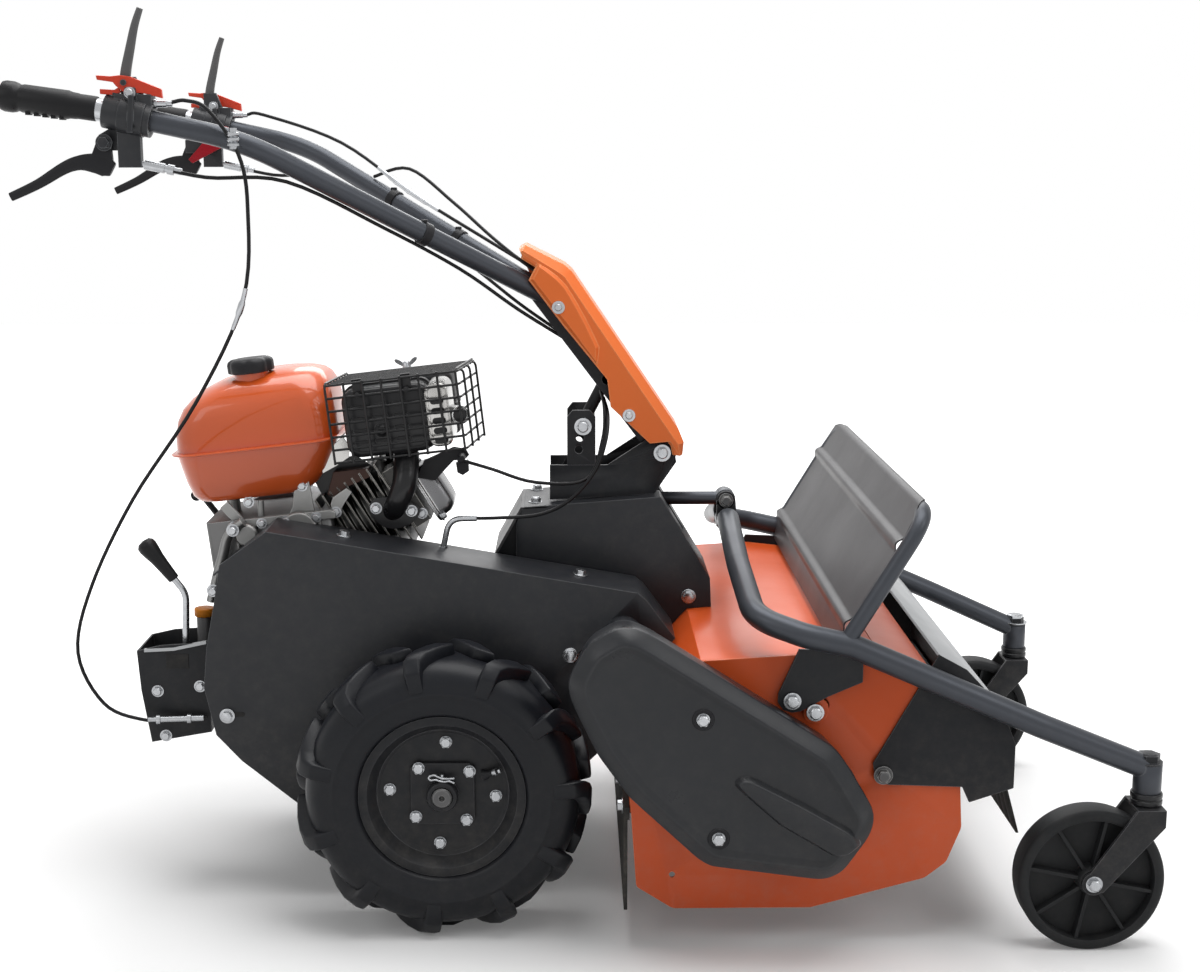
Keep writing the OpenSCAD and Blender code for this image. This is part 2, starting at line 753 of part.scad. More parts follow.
module air_filter() {
    color("#202123") tilted() difference() {
        union() {
        round_block(filter_x0, filter_y0, filter_z0, filter_x1 - filter_x0, filter_d, filter_h,
            filter_round);
        translate([(filter_x0 + filter_x1) / 2, filter_y0 + filter_d / 2, filter_z0 + filter_h]) {
            cylinder(r = shank_r, h = wing_z);
            translate([-wing_w / 2, -wing_t / 2, wing_z / 2]) cube([wing_w, wing_t, wing_z / 2]);
        }
            translate([intake_x, head_w / 4, cyl_z]) cylinder(r = outlet_r, h = filter_z0 - cyl_z + eps);
        }
        head_space();
        translate([block_x0, -block_half, block_z0]) cube([block_x1 - block_x0, 2 * block_half,
            block_z1 - block_z0]);
        translate([intake_x - 2 * outlet_r, 0, cyl_z - head_h]) cube([4 * outlet_r, head_w, head_h +
            intake_floor - cyl_z]);
    }
}
module shift_console() {
    color("#1d1e20") {
        difference() {
            wall(console_pts, console_y0, console_d);
            wall([for (p = console_pts) [p[0] + (p[0] < lever_x ? sheet_t : -sheet_t), p[1] + sheet_t]],
                 console_y0 + sheet_t, console_d - 2 * sheet_t);
            translate([console_x1 - 2 * sheet_t, neck_y - arm_w / 2 - gap, arm_z - arm_h])
                cube([4 * sheet_t, arm_w + 2 * gap, arm_h + gap]);
        }
        rod_y(lever_x, console_y0 + eps, lever_z, lever_pin_r, console_d - 2 * eps);
        translate([console_x1 - eps, console_y0, arm_z - arm_h - bed_t]) cube([console_foot, console_d,
            bed_t]);
    }
}
module shift_lever() {
    color("#b9bcbf") difference() {
        union() {
            rod_y(lever_x, lever_y - lever_eye_w / 2, lever_z, lever_eye_r, lever_eye_w);
            link([lever_x, lever_y, lever_z], [lever_top_x, lever_y, lever_top_z], lever_rod_r);
            translate([lever_top_x, lever_y, lever_top_z]) sphere(r = lever_rod_r + lift);
            link([lever_top_x, lever_y, lever_top_z], [lever_grip_x, lever_y, lever_grip_z], lever_rod_r);
            link([(lever_top_x * 0.7 + lever_grip_x * 0.3), lever_y, (lever_top_z * 0.7 + lever_grip_z *
                0.3)],
                 [lever_grip_x, lever_y, lever_grip_z], lever_grip_r);
        }
        rod_y(lever_x, lever_y - lever_eye_w, lever_z, lever_pin_r + run_fit, 2 * lever_eye_w);
    }
}
module oil_cap() {
    color("#e8892a") translate([neck_x, neck_y, neck_z + neck_h + lift]) {
        cylinder(r = neck_r + sheet_t, h = neck_r);
        translate([0, 0, -neck_h + lift]) cylinder(r = neck_r - sheet_t - run_fit, h = neck_h);
    }
}
module engine_switch() {
    color("#c4161c") tilted() translate([switch_x - switch_box / 2 + switch_t, shroud_y + switch_box / 2,
        switch_z])
        difference() {
            rotate([0, -switch_lean, 0]) translate([-switch_t, -switch_w / 2 + gap, -switch_w / 2])
                cube([switch_t, switch_w - 2 * gap, switch_w]);
            rod_y(-switch_t / 2, -switch_w, 0, switch_pin_r, 2 * switch_w);
        }
}
module starter_grip() {
    color("#1b1b1c") tilted() translate([starter_x, starter_y, starter_z - starter_w]) rotate([0,
        -starter_lean, 0]) {
        cylinder(r = shank_r - run_fit, h = starter_w + 3 * starter_r);
        translate([0, 0, starter_w + 3 * starter_r]) rotate([90, 0, 0]) cylinder(r = starter_r, h =
            starter_w, center = true);
    }
}
module belt_cover() {
    n = len(cover_pts);
    inner = [for (i = [0:n - 1])
        let (a = cover_pts[(i + n - 1) % n], b = cover_pts[i], c = cover_pts[(i + 1) % n],
             s = seg_n(a, b) + seg_n(b, c)) b + s * (2 * cover_bevel / (s * s))];
    shell = [for (i = [0:n - 1])
        let (a = cover_pts[(i + n - 1) % n], b = cover_pts[i], c = cover_pts[(i + 1) % n],
             s = seg_n(a, b) + seg_n(b, c)) b + s * (2 * cover_t / (s * s))];
    face = -deck_half - cover_depth;
    color("#4a4d50") {
        difference() {
            union() {
                wall(cover_pts, face + cover_bevel, cover_depth - cover_bevel);
                hull() {
                    wall(inner, face, eps);
                    wall(cover_pts, face + cover_bevel, eps);
                }
            }
            wall(shell, face + cover_bevel, cover_depth);
        }
        wall(wedge_pts, face - wedge_t, wedge_t + eps);
        for (b = cover_bolts) bolt_head(b[0], face, b[1], -1);
    }
}
module drive_belt() {
    a = [jack_x, jack_z];
    b = [rotor_x, rotor_z];
    tilt = atan2(b[1] - a[1], b[0] - a[0]);
    k = acos((jack_pulley_r - pulley_r) / norm(b - a));
    color("#151515") translate([0, -belt_y - belt_w / 2, 0]) difference() {
        wall(belt_outline(a, b, tilt, k, lift + belt_t), 0, belt_w);
        wall(belt_outline(a, b, tilt, k, lift), -eps, belt_w + 2 * eps);
    }
}
function belt_outline(a, b, tilt, k, grow) =
    concat([for (i = [0:24]) a + (jack_pulley_r + grow) * [cos(tilt + k + (360 - 2 * k) * i / 24),
        sin(tilt + k + (360 - 2 * k) * i / 24)]],
           [for (i = [0:24]) b + (pulley_r + grow) * [cos(tilt - k + 2 * k * i / 24), sin(tilt - k + 2 *
               k * i / 24)]]);
module jackshaft_tube() {
    l = belt_y - pulley_w / 2 - gap - chassis_half + hitch_h;
    color("#3a3d40") difference() {
        union() {
            rod_y(jack_x, -chassis_half + hitch_h - l, jack_z, jack_tube_r, l);
            rod_y(jack_x, -chassis_half + sheet_t, jack_z, jack_tube_r + 2 * shank_r, bed_t);
        }
        rod_y(jack_x, -chassis_half + hitch_h - l - eps, jack_z, jack_shaft_r + run_fit, l + 2 * eps);
    }
}
module drive_pulley() {
    color("#6b6e70") {
        rod_y(jack_x, -belt_y - pulley_w / 2, jack_z, jack_pulley_r, pulley_w);
        rod_y(jack_x, -belt_y, jack_z, jack_shaft_r, belt_y - chassis_half + 2 * hitch_h);
    }
}
module deck_side(s) {
    y = s > 0 ? deck_half - deck_t : -gusset_y - gusset_t - gap;
    l = gusset_y + gusset_t + gap - deck_half + deck_t;
    color("#e2622a") difference() {
        union() {
            translate([0, s * (deck_half - deck_t / 2) - deck_t / 2, 0]) wall(side_pts, 0, deck_t);
            rod_y(frame_hinge_x, y, frame_hinge_z, frame_pin_r, l);
            rod_y(lock_x, y, lock_z, lock_r, l);
            bolt_head(frame_hinge_x, s * (gusset_y + gusset_t + gap), frame_hinge_z, s);
            bolt_head(lock_x, s * (gusset_y + gusset_t + gap), lock_z, s);
        }
        rod_y(rotor_x, -deck_half - eps, rotor_z, rotor_shaft_r + bolt_h, 2 * deck_half + 2 * eps);
        rod_y(guard_x, -deck_half - eps, guard_z, guard_pin_r + run_fit, 2 * deck_half + 2 * eps);
        rod_y(mount_hole_x, -deck_half - eps, mount_hole_z, mount_hole_r, 2 * deck_half + 2 * eps);
    }
}
module deck_side_right() {
    deck_side(-1);
}
module deck_side_left() {
    deck_side(1);
}
module deck_shell() {
    color("#e2622a") wall(thick(skin_pts, -deck_t), -deck_half + deck_t, 2 * deck_half - 2 * deck_t);
}
module rotor_bearings() {
    color("#6d7072") difference() {
        for (s = [-1, 1]) translate([0, s * (deck_half + bearing_t / 2) - bearing_t / 2, 0])
            rod_y(rotor_x, 0, rotor_z, bearing_r, bearing_t);
        rod_y(rotor_x, -deck_half - bearing_t - eps, rotor_z, rotor_shaft_r + run_fit, 2 * deck_half +
            2 * bearing_t + 2 * eps);
    }
}
module rotor() {
    half = deck_half - deck_t - rotor_gap;
    step = 2 * (half - flail_w) / (flail_count - 1);
    color("#5a5d60") {
        difference() {
            rod_y(rotor_x, -half, rotor_z, rotor_r, 2 * half);
            rod_y(rotor_x, -half + tube_end, rotor_z, rotor_r - tube_wall, 2 * half - 2 * tube_end);
        }
        rod_y(rotor_x, -belt_y - pulley_w / 2, rotor_z, rotor_shaft_r, belt_y + pulley_w / 2 +
            deck_half + bearing_t + washer_t);
        rod_y(rotor_x, -belt_y - pulley_w / 2, rotor_z, pulley_r, pulley_w);
        for (s = [-1, 1], i = [0:flail_count - 1], u = [-1, 1])
            translate([rotor_x, -half + flail_w + i * step + u * (flail_t / 2 + gap + lug_t / 2), rotor_z])
                rotate([90, 0, 0]) translate([0, 0, -lug_t / 2]) {
                    translate([s > 0 ? rotor_r - lug_t : -pin_at, -flail_head_r, 0]) cube([pin_at -
                        rotor_r + lug_t, 2 * flail_head_r, lug_t]);
                    translate([s * pin_at, 0, 0]) cylinder(r = flail_head_r, h = lug_t);
                }
        for (s = [-1, 1]) rod_y(rotor_x + s * pin_at, -half + flail_w / 2, rotor_z, pin_r, 2 * half -
            flail_w);
    }
}
module flail_row(s) {
    half = deck_half - deck_t - rotor_gap;
    step = 2 * (half - flail_w) / (flail_count - 1);
    drop = flail_reach - pin_at;
    color("#8a8d8f") difference() {
        for (i = [0:flail_count - 1])
            translate([rotor_x + s * pin_at, -half + flail_w + i * step - flail_t / 2, rotor_z]) {
                rod_y(0, 0, 0, flail_w / 2, flail_t);
                wall([[-flail_w / 2, 0], [flail_w / 2, 0], [flail_w / 2, -drop + flail_w / 2], [0,
                    -drop], [-flail_w / 2, -drop + flail_w / 2]], 0, flail_t);
            }
        rod_y(rotor_x + s * pin_at, -half, rotor_z, pin_r + run_fit, 2 * half);
    }
}
module flails_a() {
    flail_row(1);
}
module flails_b() {
    flail_row(-1);
}
module rear_flap() {
    color("#1a1a1b") {
        translate([side_pts[0][0] - flap_gap - flap_t, -deck_half, flap_z - flap_h]) cube([flap_t, 2 *
            deck_half, flap_h]);
        translate([side_pts[0][0] - flap_gap - flap_t, -deck_half, flap_z - clamp_h]) cube([flap_t +
            flap_gap, 2 * deck_half, clamp_h]);
    }
}
module chassis_bolts() {
    slope = (plate_top[1][1] - plate_top[2][1]) / (plate_top[2][0] - plate_top[1][0]);
    color("#c3c6c9") {
        for (p = side_bolts, s = [-1, 1]) bolt_head(p[0], s * chassis_half, p[1], s);
        for (x = flange_bolts)
            translate([x, -chassis_half + flange_w / 2, plate_top[1][1] - (x - plate_top[1][0]) * slope])
                rotate([0, atan(slope), 0]) bolt_up(0, 0, 0);
        for (s = [-1, 1]) bolt_head(tower_bolt[0], s * tower_half, tower_bolt[1], s);
        translate([side_pts[0][0] - flap_gap - flap_t, 0, flap_z - clamp_h / 2]) for (i = [-3:3])
            translate([0, i * flap_bolt_share * deck_half, 0]) rotate([0, -90, 0]) bolt_up(0, 0, 0);
    }
}
module tyre() {
    half = tyre_w / 2;
    profile = [[tyre_inner_r, -rim_half + 2 * rim_t], [rim_r, -rim_half + rim_t], [rim_r + bead, -half],
        [carcass_r - bulge, -half - lift], [carcass_r - shoulder, -half + shoulder],
               [carcass_r, -half + crown], [carcass_r, half - crown], [carcass_r - shoulder, half -
                   shoulder], [carcass_r - bulge, half + lift],
               [rim_r + bead, half], [rim_r, rim_half - rim_t], [tyre_inner_r, rim_half - 2 * rim_t]];
    color("#17181a") {
        rotate([90, 0, 0]) rotate_extrude($fn = 96) polygon(profile);
        for (s = [-1, 1], i = [0:lug_count - 1])
            rotate([0, (i + (s > 0 ? 0.5 : 0)) * 360 / lug_count, 0]) translate([0, s * half * 0.04, 0])
                intersection() {
                    translate([0, 0, carcass_r - lug_h]) rotate([0, 0, s * lug_angle])
                        translate([-lug_w / 2, s > 0 ? 0 : -lug_reach * 1.3, 0]) cube([lug_w, lug_reach *
                            1.3, 2 * lug_h - lift]);
                    translate([-wheel_r, s > 0 ? 0 : -half * 0.98, 0]) cube([2 * wheel_r, half * 0.98,
                        2 * wheel_r]);
                    rotate([90, 0, 0]) cylinder(r = wheel_r, h = 2 * tyre_w, center = true, $fn = 96);
                }
    }
}
module rim() {
    profile = [[rim_r, -rim_half], [rim_r, -rim_half + rim_t], [tyre_inner_r, -rim_half + 2 * rim_t],
        [rim_well_r, -rim_half + 6 * rim_t],
               [rim_well_r, rim_half - 6 * rim_t], [tyre_inner_r, rim_half - 2 * rim_t], [rim_r,
                   rim_half - rim_t], [rim_r, rim_half],
               [tyre_inner_r - rim_t, rim_half], [rim_well_r - rim_t, rim_half - 6 * rim_t],
                   [rim_well_r - rim_t, -rim_disc_y + 2 * rim_t],
               [rim_step_r, -rim_disc_y + rim_t], [axle_r + bolt_h, -rim_disc_y + rim_t], [axle_r +
                   bolt_h, -rim_disc_y],
               [rim_step_r, -rim_disc_y], [rim_well_r - rim_t, -rim_disc_y - rim_t], [rim_well_r - rim_t,
                   -rim_half + 6 * rim_t], [tyre_inner_r - rim_t, -rim_half]];
    color("#1d1f21") rotate([90, 0, 0]) mirror([0, 0, 1]) rotate_extrude($fn = 96) polygon(profile);
}
module hub() {
    face = -rim_disc_y - rim_t;
    color("#24262a") difference() {
        union() {
            rod_y(0, -rim_disc_y - hub_t, 0, hub_half, hub_t);
            translate([-hub_half, -rim_disc_y - hub_t, -hub_half]) cube([2 * hub_half, hub_t, 2 *
                hub_half]);
            rod_y(0, -rim_disc_y - hub_t - axle_tip, 0, axle_r + bolt_h - lift, axle_tip);
            rod_y(0, -rim_disc_y - hub_t - axle_tip - washer_t, 0, axle_r, track_half - case_half +
                hub_t + axle_tip);
            for (a = [0, 90, 180, 270]) rotate([0, a, 0]) {
                bolt_head(hub_bolt_at, -rim_disc_y - hub_t, hub_bolt_at, -1);
                bolt_head(rim_bolt_r, -rim_disc_y, 0, -1);
            }
        }
        rotate([0, 45, 0]) translate([0, -rim_disc_y - hub_t - axle_tip / 2, -2 * axle_r]) cylinder(r =
            sheet_t, h = 4 * axle_r);
    }
}
module at_wheel(s) {
    translate([0, s * track_half, axle_z]) mirror([0, s > 0 ? 1 : 0, 0]) children();
}
module tyre_right() {
    at_wheel(-1) tyre();
}
module rim_right() {
    at_wheel(-1) rim();
}
module hub_right() {
    at_wheel(-1) hub();
}
module tyre_left() {
    at_wheel(1) tyre();
}
module rim_left() {
    at_wheel(1) rim();
}
module hub_left() {
    at_wheel(1) hub();
}
module front_guard() {
    color("#34373a") {
        for (s = [-1, 1]) translate([0, s * (guard_half - guard_t / 2) - guard_t / 2, 0]) {
            wall(guard_pts, 0, guard_t);
            rod_y(guard_x, s > 0 ? -guard_half + deck_half - deck_t : 0, guard_z, guard_pin_r,
                guard_half - deck_half + deck_t + guard_t);
        }
        wall(thick(guard_sheet, -guard_t), -guard_half + eps, 2 * guard_half - 2 * eps);
        for (s = [-1, 1]) bolt_head(guard_x, s * guard_half, guard_z, s);
    }
}
module guard_fringe() {
    w = 2 * strip_half / strip_count;
    edge = guard_sheet[len(guard_sheet) - 1];
    color("#141415") {
        translate([edge[0] - guard_t - strip_t, -strip_half, edge[1]]) cube([strip_t, 2 * strip_half,
            clamp_h]);
        for (i = [0:strip_count - 1]) translate([0, -strip_half + i * w, 0])
            wall([[edge[0] - guard_t - strip_t, edge[1]], [edge[0] - guard_t, edge[1]],
                  [edge[0] - guard_t + strip_lean, edge[1] - strip_drop], [edge[0] - guard_t - strip_t +
                      strip_lean, edge[1] - strip_drop]], 0, w - strip_gap);
    }
}
module front_frame() {
    n = len(leg_pts) - 1;
    color("#3b3e42") difference() {
        union() {
            for (s = [-1, 1]) {
                tube_run([for (i = [0:n]) [leg_pts[i][0], s * leg_y[i], leg_pts[i][1]]], frame_r);
                translate([stem_x, s * caster_half, stem_z0]) cylinder(r = sleeve_r, h = stem_z1 - stem_z0);
                translate([0, s * (gusset_y + gusset_t / 2) - gusset_t / 2, 0]) wall(gusset_pts, 0,
                    gusset_t);
                translate([0, s * (clevis_gap + clevis_t / 2) - clevis_t / 2, 0]) {
                    rod_y(clevis_x, 0, clevis_z, clevis_r, clevis_t);
                    wall([[clevis_x - clevis_r, clevis_z], [clevis_x + clevis_r, clevis_z],
                        [leg_pts[n][0] + frame_r, leg_pts[n][1] - frame_r],
                          [leg_pts[n][0] - frame_r, leg_pts[n][1] - frame_r]], 0, clevis_t);
                }
            }
            rod_y(leg_pts[n][0], -leg_y[n], leg_pts[n][1] - frame_r / 2, frame_r - lift, 2 * leg_y[n]);
            rod_y(clevis_x, -clevis_gap - clevis_t - washer_t, clevis_z, clevis_pin_r, 2 * clevis_gap +
                2 * clevis_t + 2 * washer_t);
            for (s = [-1, 1]) bolt_head(clevis_x, s * (clevis_gap + clevis_t), clevis_z, s);
        }
        for (s = [-1, 1]) {
            translate([stem_x, s * caster_half, stem_z0 - frame_r]) cylinder(r = stem_r + run_fit, h =
                stem_z1 - stem_z0 + 2 * frame_r);
            translate([stem_x, s * caster_half, stem_z1]) cylinder(r = sleeve_r + frame_r, h = frame_r);
            translate([stem_x, s * caster_half, stem_z0 - 2 * frame_r]) cylinder(r = sleeve_r + frame_r,
                h = 2 * frame_r);
        }
        for (s = [-1, 1]) translate([0, s > 0 ? gusset_y - eps : -gusset_y - gusset_t - eps, 0]) {
            rod_y(frame_hinge_x, 0, frame_hinge_z, frame_pin_r + run_fit, gusset_t + 2 * eps);
            rod_y(lock_x, 0, lock_z, lock_hole_r, gusset_t + 2 * eps);
        }
        rod_y(clevis_x, -rod_eye_w / 2 - gap, clevis_z, rod_eye_r + bolt_h, rod_eye_w + 2 * gap);
        translate([clevis_x - 2 * rod_len, -rod_eye_w / 2 - gap, clevis_z - rod_eye_r]) cube([2 *
            rod_len, rod_eye_w + 2 * gap, 4 * rod_eye_r]);
    }
    color("#3b3e42") rod_y(clevis_x, -clevis_gap - eps, clevis_z, clevis_pin_r, 2 * clevis_gap + 2 * eps);
}
module front_panel() {
    h = panel_h - panel_bar_r;
    n = len(leg_pts) - 1;
    color("#35383b") difference() {
        translate([panel_x, 0, panel_z]) rotate([0, -panel_angle, 0]) {
            translate([0, -frame_half, -panel_t / 2]) cube([h, 2 * frame_half, panel_t]);
            for (u = [0.32, 0.64]) translate([u * h, -frame_half + 2 * panel_bar_r, panel_t / 2])
                cube([panel_t, 2 * frame_half - 4 * panel_bar_r, panel_t]);
            for (s = [-1, 1]) link([-panel_bar_r, s * frame_half, 0], [h, s * frame_half, 0], panel_bar_r);
            for (s = [-1, 1]) translate([h, s * frame_half, 0]) sphere(r = panel_bar_r + lift);
            rod_y(h, -frame_half, 0, panel_bar_r, 2 * frame_half);
        }
        for (s = [-1, 1]) tube_run([for (i = [0:n]) [leg_pts[i][0], s * leg_y[i], leg_pts[i][1]]], frame_r);
    }
}
module tie_rod() {
    color("#2c2e31") difference() {
        union() {
            rod_y(clevis_x, -rod_eye_w / 2, clevis_z, rod_eye_r, rod_eye_w);
            translate([clevis_x - rod_len, 0, clevis_z]) rotate([0, 90, 0]) cylinder(r = rod_r, h =
                rod_len);
        }
        rod_y(clevis_x, -rod_eye_w, clevis_z, clevis_pin_r + run_fit, 2 * rod_eye_w);
    }
}
module caster_fork() {
    ax = stem_x - fork_trail;
    color("#26282b") {
        translate([stem_x, 0, stem_z0 - collar_h - lift]) cylinder(r = collar_r, h = collar_h);
        translate([stem_x, 0, stem_z0 - collar_h - lift]) cylinder(r = stem_r, h = stem_z1 - stem_z0 +
            collar_h + nut_h);
        translate([stem_x, 0, stem_z1 + lift]) cylinder(r = sleeve_r, h = washer_t);
        translate([stem_x, 0, stem_z1 + lift + washer_t]) cylinder(r = sleeve_r - sheet_t, h = nut_h -
            2 * washer_t, $fn = hex);
        translate([stem_x - fork_plate_w / 2, -caster_w / 2 - fork_gap - fork_t, stem_z0 - collar_h -
            lift - fork_t])
            cube([fork_plate_w, caster_w + 2 * fork_gap + 2 * fork_t, fork_t]);
        for (s = [-1, 1]) translate([0, s * (caster_w / 2 + fork_gap + fork_t / 2) - fork_t / 2, 0]) {
            wall([[stem_x - fork_plate_w / 2, stem_z0 - collar_h - lift], [stem_x + fork_plate_w / 2,
                stem_z0 - collar_h - lift],
                  [stem_x + fork_plate_w / 2, stem_z0 - collar_h - fork_h], [ax + fork_plate_w / 3,
                      caster_r - fork_plate_w / 3],
                  [ax - fork_plate_w / 3, caster_r + fork_plate_w / 8]], 0, fork_t);
            rod_y(ax, 0, caster_r, fork_plate_w / 2.4, fork_t);
        }
        rod_y(ax, -caster_w / 2 - fork_gap - fork_t - washer_t, caster_r, caster_axle_r, caster_w + 2 *
            fork_gap + 2 * fork_t + 2 * washer_t);
        for (s = [-1, 1]) translate([ax, s * (caster_w / 2 + fork_gap + fork_t), caster_r]) rotate([-90 *
            s, 0, 0]) cylinder(r = bolt_r, h = bolt_h, $fn = hex);
    }
}
module caster_wheel() {
    color("#1a1b1d") translate([stem_x - fork_trail, 0, caster_r]) difference() {
        union() {
            difference() {
                rod_y(0, -caster_w / 2, 0, caster_r, caster_w);
                rod_y(0, -caster_w / 2 - eps, 0, caster_r - tread_t, caster_w + 2 * eps);
            }
            rod_y(0, -web_t / 2, 0, caster_r - tread_t + eps, web_t);
            rod_y(0, -caster_w / 2 - fork_gap + gap, 0, caster_hub_r, caster_w + 2 * fork_gap - 2 * gap);
            for (i = [0:spoke_count - 1]) rotate([0, i * 360 / spoke_count, 0])
                translate([0, -caster_w / 2.6, -spoke_t / 2]) cube([caster_r - tread_t + eps, caster_w /
                    1.3, spoke_t]);
        }
        rod_y(0, -caster_w, 0, caster_axle_r + run_fit, 2 * caster_w);
    }
}
module caster_fork_right() {
    translate([0, -caster_half, 0]) caster_fork();
}
module caster_wheel_right() {
    translate([0, -caster_half, 0]) caster_wheel();
}
module caster_fork_left() {
    translate([0, caster_half, 0]) caster_fork();
}
module caster_wheel_left() {
    translate([0, caster_half, 0]) caster_wheel();
}
function band(a, b, w) = let (n = seg_n(a, b) * w / 2) [a + n, b + n, b - n, a - n];
module handlebar() {
    stop = [pivot_x + hole_row_r * cos(hole_row_angles[0]), pivot_z + hole_row_r * sin(hole_row_angles[0])];
    open_a = hole_row_angles[0] - 180;
    color("#4b4e52") difference() {
        union() {
            for (s = [-1, 1]) {
                translate([0, s * (arm_half - column_t / 2) - column_t / 2, 0]) {
                    wall(band(column_low, column_high, column_d), 0, column_t);
                    rod_y(pivot_x, 0, pivot_z, 2.4 * pivot_r, column_t);
                }
                tube_run([[bar_root[0] + 2 * bar_r, s * (arm_half - bar_r), bar_root[2] - 2 * bar_r],
                          [bar_bend_x, s * grip_half, grip_z - bar_bend_drop], [bar_end_x, s * grip_half,
                              grip_z],
                          [bar_end_x - grip_len * 0.86, s * grip_half, grip_z + grip_len * 0.86 *
                              bar_slope]], bar_r);
            }
            for (p = column_bolts) rod_y(p[0], -column_half + sheet_t, p[1], shank_r, 2 * column_half -
                2 * sheet_t);
            rod_y(strut_top[0], -arm_half, strut_top[1], strut_r, 2 * arm_half);
            link([strut_top[0], 0, strut_top[1]], [stop[0], 0, stop[1]], strut_r);
            rod_y(stop[0], -arm_half + 2 * column_t, stop[1], saddle_r, 2 * arm_half - 4 * column_t);
            rod_y(pivot_x, -arm_half, pivot_z, 2 * pivot_r, 2 * arm_half);
        }
        rod_y(pivot_x, -arm_half - eps, pivot_z, pivot_r + run_fit, 2 * arm_half + 2 * eps);
        rod_y(stop[0], -arm_half - eps, stop[1], hole_r + run_fit, 2 * arm_half + 2 * eps);
        translate([stop[0], -arm_half, stop[1]]) rotate([0, -open_a, 0])
            translate([-2 * saddle_r, 0, -2 * saddle_r]) cube([4 * saddle_r, 2 * arm_half, 2 * saddle_r]);
    }
}
module column_cover() {
    color("#ec7a2c") {
        for (s = [-1, 1]) translate([0, s * (column_half - sheet_t / 2) - sheet_t / 2, 0])
            wall(cover_side, 0, sheet_t);
        wall(thick(cover_top, -sheet_t), -column_half + eps, 2 * column_half - 2 * eps);
        for (p = column_bolts, s = [-1, 1]) bolt_head(p[0], s * column_half, p[1], s);
    }
}
module handle_grips() {
    color("#141414") for (s = [-1, 1]) difference() {
        union() {
            link([bar_end_x, s * grip_half, grip_z], [bar_end_x - grip_len, s * grip_half, grip_z +
                grip_len * bar_slope], grip_r);
            link([bar_end_x, s * grip_half, grip_z], [bar_end_x - grip_len * 0.05, s * grip_half,
                grip_z + grip_len * 0.05 * bar_slope], grip_r + sheet_t);
        }
        link([bar_end_x + grip_r, s * grip_half, grip_z - grip_r * bar_slope],
             [bar_end_x - grip_len * 0.86, s * grip_half, grip_z + grip_len * 0.86 * bar_slope], bar_r);
        translate([bar_end_x, s * grip_half, grip_z]) sphere(r = bar_r + 2 * lift);
    }
}
module at_mount(s) {
    translate([mount_x, s * grip_half, bar_z(mount_x)]) mirror([0, s > 0 ? 1 : 0, 0]) children();
}
module mount(safety) {
    hx = hand_x - mount_x;
    bx = blade_x - mount_x;
    slope = atan(bar_bend_drop / (bar_bend_x - bar_end_x));
    difference() {
        union() {
            rotate([0, 90 + slope, 0]) cylinder(r = mount_r, h = mount_len, center = true);
            wall([[-leg_w / 2, 0], [leg_w / 2, 0], [leg_w / 2, -leg_drop], [-leg_w / 2, -leg_drop]],
                -leg_t / 2, leg_t);
            wall([[hx - 2 * hand_pin_r, -hand_drop + 2 * hand_pin_r], [0, 0], [0, -hand_drop - 2 *
                hand_pin_r],
                  [hx - 2 * hand_pin_r, -hand_drop - 2 * hand_pin_r]], leg_t / 2, post_t);
            translate([-leg_w / 2, -leg_t, 0]) cube([1.6 * leg_w, 2 * leg_t, mount_r + post_t]);
            wall([[bx - 2 * latch_pin_r, 0], [leg_w, 0], [bx + 3 * latch_pin_r, blade_rise + 2 *
                latch_pin_r],
                  [bx - 2 * latch_pin_r, blade_rise + 2 * latch_pin_r]], post_t, post_t);
            if (safety) rod_y(safety_x - mount_x, leg_t, -safety_drop, 2 * safety_pin_r, mount_r -
                leg_t + eps);
        }
        rotate([0, 90 + slope, 0]) cylinder(r = bar_r, h = 2 * mount_len, center = true);
    }
    rod_y(hx, -leg_t / 2 - washer_t, -hand_drop, hand_pin_r, leg_t + washer_t + post_t);
    bolt_head(hx, -leg_t / 2, -hand_drop, -1);
    rod_y(bx, -latch_t / 2 - washer_t, blade_rise, blade_pin_r, latch_t / 2 + washer_t + 2 * post_t);
    if (safety) {
        rod_y(safety_x - mount_x, mount_r, -safety_drop, safety_pin_r, safety_t + 2 * washer_t);
        rod_y(safety_x - mount_x, mount_r + safety_t + 2 * washer_t, -safety_drop, 2 * safety_pin_r,
            washer_t);
    }
}
module control_mounts() {
    color("#26282b") {
        at_mount(-1) mount(false);
        at_mount(1) mount(true);
    }
}
module hand_lever() {
    t = leg_t - 2 * washer_t;
    color("#202225") translate([hand_x - mount_x, 0, -hand_drop]) difference() {
        union() {
            rod_y(0, -t / 2, 0, 2 * hand_pin_r, t);
            wall([[-2 * hand_pin_r, 0], [hand_t, hand_t], [hand_t + washer_t, -hand_w], [0, -1.7 *
                hand_w], [hand_tip[0] / 2, hand_tip[1] * 0.78],
                  [hand_tip[0], hand_tip[1]], [hand_tip[0], hand_tip[1] + hand_t], [hand_tip[0] / 2,
                      hand_tip[1] * 0.5]], -t / 2, t);
        }
        rod_y(0, -t, 0, hand_pin_r + run_fit, 2 * t);
    }
}
module blade_lever() {
    color("#7d8083") translate([blade_x - mount_x, 0, blade_rise]) difference() {
        union() {
            rod_y(0, -blade_t / 2, 0, 2 * blade_pin_r, blade_t);
            wall([[-blade_w / 2, 0], [blade_w / 2, 0], [blade_h * 0.27, blade_h - blade_tip_w / 2],
                [blade_h * 0.27 - blade_tip_w, blade_h]], -blade_t / 2, blade_t);
        }
        rod_y(0, -blade_t, 0, blade_pin_r + run_fit, 2 * blade_t);
    }
}
